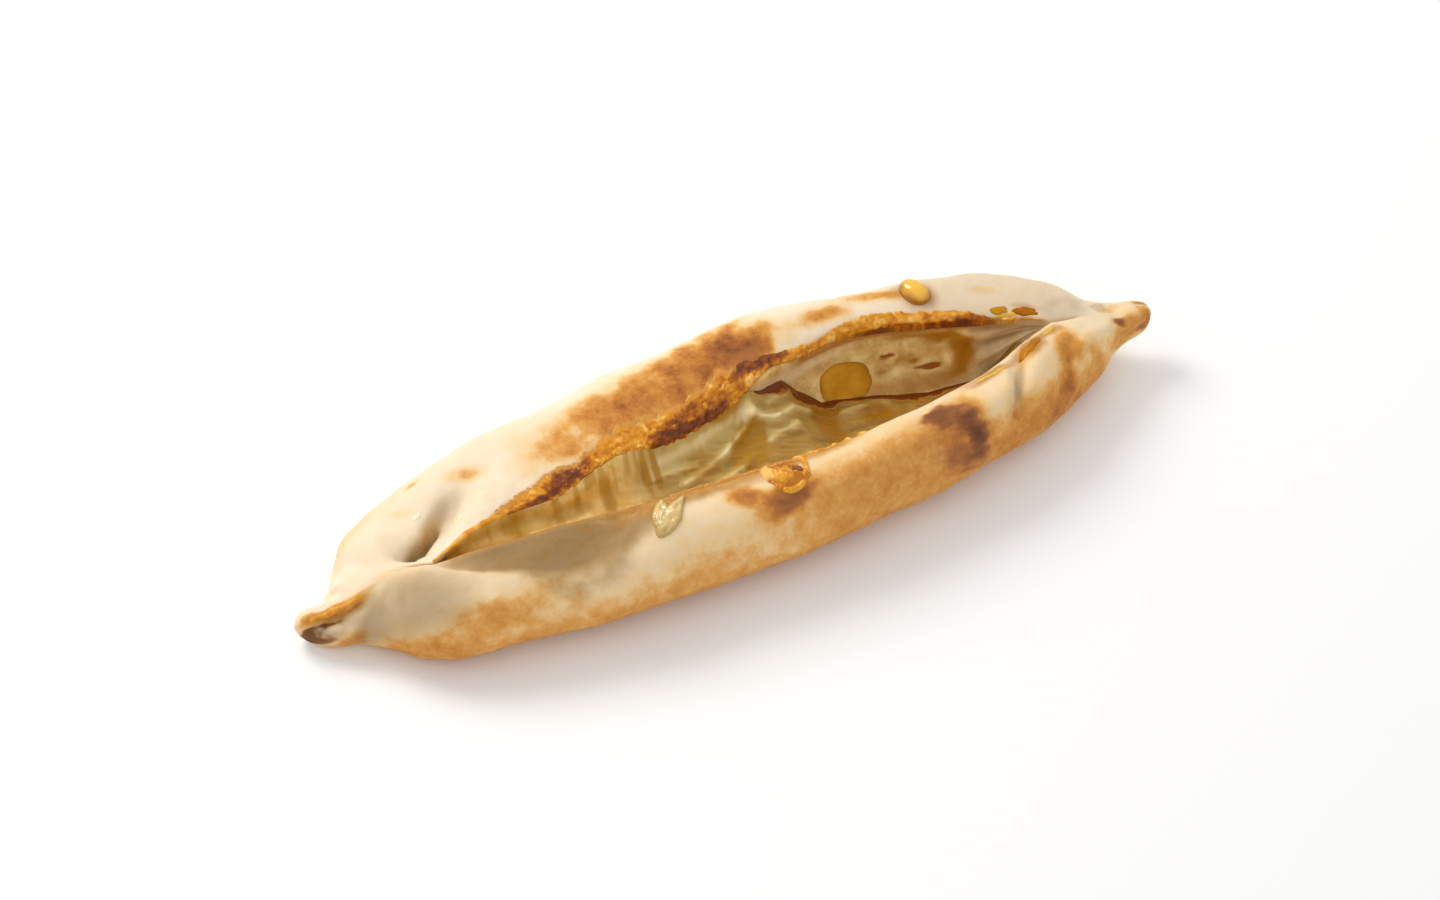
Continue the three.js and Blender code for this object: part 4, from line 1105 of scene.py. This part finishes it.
# Labneh skin: moist, yellowish and wrinkled, amber on the left, browned along its torn edge.
def labneh_material():
    look = Look("labneh_skin")
    mottle, fine = look.cloud(5, 5, 0.6, 0.4), look.cloud(1.1, 4)
    relief = look.pushed(look.value("relief"), mottle, 1.2)
    # Painted light and shade: the cream is lighter on the skin's ridges and its hem, darker in its folds.
    cream = look.scale(
        look.calculate("MULTIPLY_ADD", relief, 0.42, 0.2), (0.0, (0.29, 0.165, 0.022)),
        (0.35, (0.52, 0.345, 0.09)), (0.7, (0.71, 0.55, 0.215)), (1.0, (0.83, 0.70, 0.37)),
    )
    amber = look.mix(look.ramp(mottle, 0.3, 0.7), (0.97, 0.71, 0.29), (0.80, 0.46, 0.095))
    skin = look.mix(look.value("left"), cream, amber)
    honey = look.mix(mottle, (0.56, 0.29, 0.012), (0.36, 0.16, 0.003))
    skin = look.mix(look.value("honey"), skin, honey)
    skin = look.mix(look.value("shade"), skin, look.tint(skin, 0.74, 0.63, 0.44))
    brown = look.pushed(look.value("brown"), fine, 0.5)
    skin = look.mix(look.ramp(brown, 0.1, 0.4), skin, (0.50, 0.20, 0.015))
    torn = look.mix(fine, (0.26, 0.055, 0.002), (0.09, 0.016, 0.001))
    skin = look.mix(look.ramp(brown, 0.35, 0.8), skin, torn)
    pores = look.bump(fine, 0.25, 0.2)
    return look.finish(skin, 0.34, 0.22, (0.15, 3.0, 2.0, 0.8), (0.1, 0.12), Normal=pores)


# Caramelised glaze: golden on its ridges, red brown to plum where it has burnt.
def glaze_material():
    look = Look("caramel_glaze")
    mottle, fine = look.cloud(2.8, 4, 0.6, 1.0), look.cloud(0.6, 3)
    burn = look.pushed(look.calculate("MULTIPLY_ADD", look.value("burn"), 0.7, 0.24), mottle, 0.75)
    # Painted light and shade: the glaze is golden where it stands high and darker where it is sunk.
    sunk = look.calculate("SUBTRACT", 0.55, look.value("height"))
    skin = look.scale(
        look.calculate("MULTIPLY_ADD", sunk, 0.65, burn), (0.00, (0.92, 0.56, 0.15)),
        (0.20, (0.77, 0.33, 0.025)), (0.42, (0.55, 0.18, 0.008)), (0.68, (0.31, 0.075, 0.010)),
        (1.00, (0.14, 0.032, 0.014)),
    )
    skin = look.mix(look.ramp(look.value("border"), 0.2, 0.9), skin, (0.60, 0.26, 0.05))
    return look.finish(
        skin, look.ramp(mottle, 0.3, 0.7, 0.14, 0.34), 0.3, (0.08, 1.5, 0.6, 0.1), (0.22, 0.08),
        **{"Specular Tint": (1.0, 0.75, 0.35), "Normal": look.bump(fine, 0.3, 0.15)},
    )


# A glossy drop of honey, with painted light glowing in its middle and painted shade round its rim.
def drop_material(name, middle, rim):
    look = Look(name)
    full = look.ramp(look.pushed(look.value("full"), look.cloud(3, 3), 0.8), 0.3, 0.95)
    return look.finish(look.mix(full, rim, middle), 0.08, 0.4, (0.25, 2.0, 0.8, 0.1), (0.4, 0.03))


# Pooled honey: deep amber, darker where its tone is higher, with painted shade round its rim.
def pool_material():
    look = Look("pooled_honey")
    deep = look.scale(
        look.value("tone"), (0.0, (0.82, 0.49, 0.075)), (0.5, (0.60, 0.265, 0.008)),
        (1.0, (0.42, 0.125, 0.003)),
    )
    deep = look.mix(look.ramp(look.cloud(6, 3), 0.35, 0.65), look.tint(deep, 0.80, 0.72, 0.5), deep)
    # Painted shade round the rim.
    deep = look.mix(look.ramp(look.value("full"), 0.2, 0.75), look.tint(deep, 0.60, 0.50, 0.4), deep)
    return look.finish(deep, 0.1, 0.15, (0.12, 1.6, 0.5, 0.02), **{"Specular Tint": (1.0, 0.65, 0.15)})


def add_floor():
    mesh = bpy.data.meshes.new("floor")
    corners = [(x * FLOOR_SIZE, y * FLOOR_SIZE, 0) for x, y in ((-1, -1), (1, -1), (1, 1), (-1, 1))]
    mesh.from_pydata(corners, [], [(0, 1, 2, 3)])
    mesh.materials.append(Look("pale_floor").finish([FLOOR] * 3, 0.9, 0.5, (0, 1, 1, 1)))
    floor = link("floor", mesh)


# Places a lamp or camera round a target and turns it to look there. Azimuth 0 looks along +Y.
def aim(thing, target, azimuth, elevation, distance):
    a, e = math.radians(azimuth), math.radians(elevation)
    back = np.array([math.sin(a) * math.cos(e), -math.cos(a) * math.cos(e), math.sin(e)])
    thing.location = np.array(target) + back * distance
    thing.rotation_euler = (math.pi / 2 - e, 0, a)


def add_camera():
    data = bpy.data.cameras.new("camera")
    data.lens, data.sensor_width = LENS, SENSOR
    camera = link("camera", data)
    aim(camera, (np.array(TARGET) + SHIFT) * MM, AZIMUTH, ELEVATION, DISTANCE * MM)
    bpy.context.scene.camera = camera


def add_light():
    light = bpy.data.lights.new("key", "AREA")
    light.shape, light.size, light.energy, light.color = "SQUARE", KEY_SIZE, KEY_ENERGY, KEY_TINT
    aim(link("key", light), KEY_TARGET, **KEY)
    world = bpy.data.worlds.new("studio")
    world.use_nodes = True
    background = world.node_tree.nodes["Background"]
    background.inputs["Color"].default_value = (1.0, 1.0, 1.0, 1.0)
    background.inputs["Strength"].default_value = SKY
    bpy.context.scene.world = world


add_camera()
add_bread(crust_material())
add_labneh(labneh_material())
glaze = glaze_material()
add_glaze("glazed_back_lip", BACK, 0.22, 60, 201, 0.6, 6.0, glaze)
add_glaze("glazed_front_lip", FRONT, 0.25, 20, 301, 1.0, 0.5, glaze)

front, back = partial(outside, FRONT), partial(outside, BACK)
amber = drop_material("amber_drop", (0.86, 0.49, 0.04), (0.42, 0.16, 0.004))
pale = drop_material("pale_drop", (0.74, 0.53, 0.21), (0.52, 0.33, 0.08))
# Pale drop colours that stand in for glints: painted highlight.
light = drop_material("painted_glint_drop", (0.95, 0.82, 0.52), (0.85, 0.68, 0.36))
pooled = pool_material()
add_shapes("round_drop", amber, [
    (lens(back, (61, 9.5), (3.7, 4.3), 0, 3.2, 5, wobble=0), 0.5),
], "honey_drop_back")
add_shapes("tear_drop", pale, [
    (lens(front, (-26.4, 7.3), (7.3, 2.7), 41, 1.3, 6, tail=0.8, wobble=0, crumple=0.5), 0.2),
    (lens(front, (-28.8, 6.2), (5.4, 2.2), 66, 1.0, 16, tail=0.3, wobble=0, crumple=0.5), 0.2),
], "honey_drop_front")
add_shapes("rim_blister", glaze, [
    (lens(front, (5, 6.6), (5.8, 5.2), 0, 0.9, 7, crumple=0.4, rings=24, spokes=90), 0.25),
    (lens(front, (1.0, 4.0), (1.8, 3.0), 10, 1.5, 8, crumple=0.3), -0.4),
    (lens(front, (4.2, 6.4), (2.8, 3.4), 0, 1.7, 9, crumple=0.5), -0.1),
    (lens(front, (8.0, 6.2), (1.9, 3.0), 30, 1.1, 10), 0.8),
    (trail(front, [(10.4, 1.4), (11, 4), (10.4, 7), (8.4, 9)], [0.6, 0.8, 0.8, 0.6], 1.4, 11), -0.12),
    (trail(front, [(2, 10.2), (4.4, 11.2), (6.6, 11), (8.6, 10)], [0.7, 1.0, 1.0, 0.8], 1.2, 12), -0.05),
], "honey_blister_front", glazed=True)
add_shapes("golden_edges", glaze, [
    (trail(back, [(-85, 0.4), (-78, 0.5), (-70, 0.8), (-62, 0.6)], [0.4, 0.8, 1.2, 0.9], 0.7, 22, 0.5), -0.1),
    (trail(front, [(-117, 1.9), (-112, 1.4), (-107, 1.5), (-102.5, 2.4)], [0.5, 1.2, 1, 0.5], 0.4, 27, 0.9),
     0),
], glazed=True)
add_shapes("inner_honey", pooled, [
    (lens(inside, down(38.0, 44), (7.8, 5.6), -8, 0.7, 11, wobble=0.1, square=2.6), 0.35),
])
add_shapes("lip_honey", pooled, [
    (lens(back, (79.3, 2.6), (2.6, 1.2), -6, 0.6, 29), 0.4),
    (lens(back, (85.6, 2.5), (3.2, 1.4), -4, 0.7, 30), 0.9),
    (trail(back, [(77.5, 0.8), (82, 1.4), (84, 2.2)], [0.4, 0.6, 0.5], 0.4, 31, 0.5), -0.1),
    (trail(front, [(75.8, 5.4), (80, 5.4), (85, 3.9)], [1.0, 2.0, 1.1], 0.5, 23, 0.6), 0.8),
    (lens(front, (88.2, 3.2), (2.4, 1.0), 6, 0.4, 32), 0.1),
    (trail(front, [(62.5, 4.0), (68, 4.9), (73, 5.0)], [0.5, 0.9, 0.6], 0.4, 28, 0.6), 0.0),
])
# Tiny honey drops on the back wall, pale as painted glints.
add_shapes("stray_drops", light, [
    (lens(back, (-83.5, 15), (1.4, 1.0), 0, 0.6, 24, wobble=0.15), 0.5),
    (lens(back, (-74, 7.5), (1.5, 1.6), 0, 0.6, 25, wobble=0.15), 0.5),
])
add_floor()
add_light()
bpy.context.scene.view_settings.view_transform = "Standard"
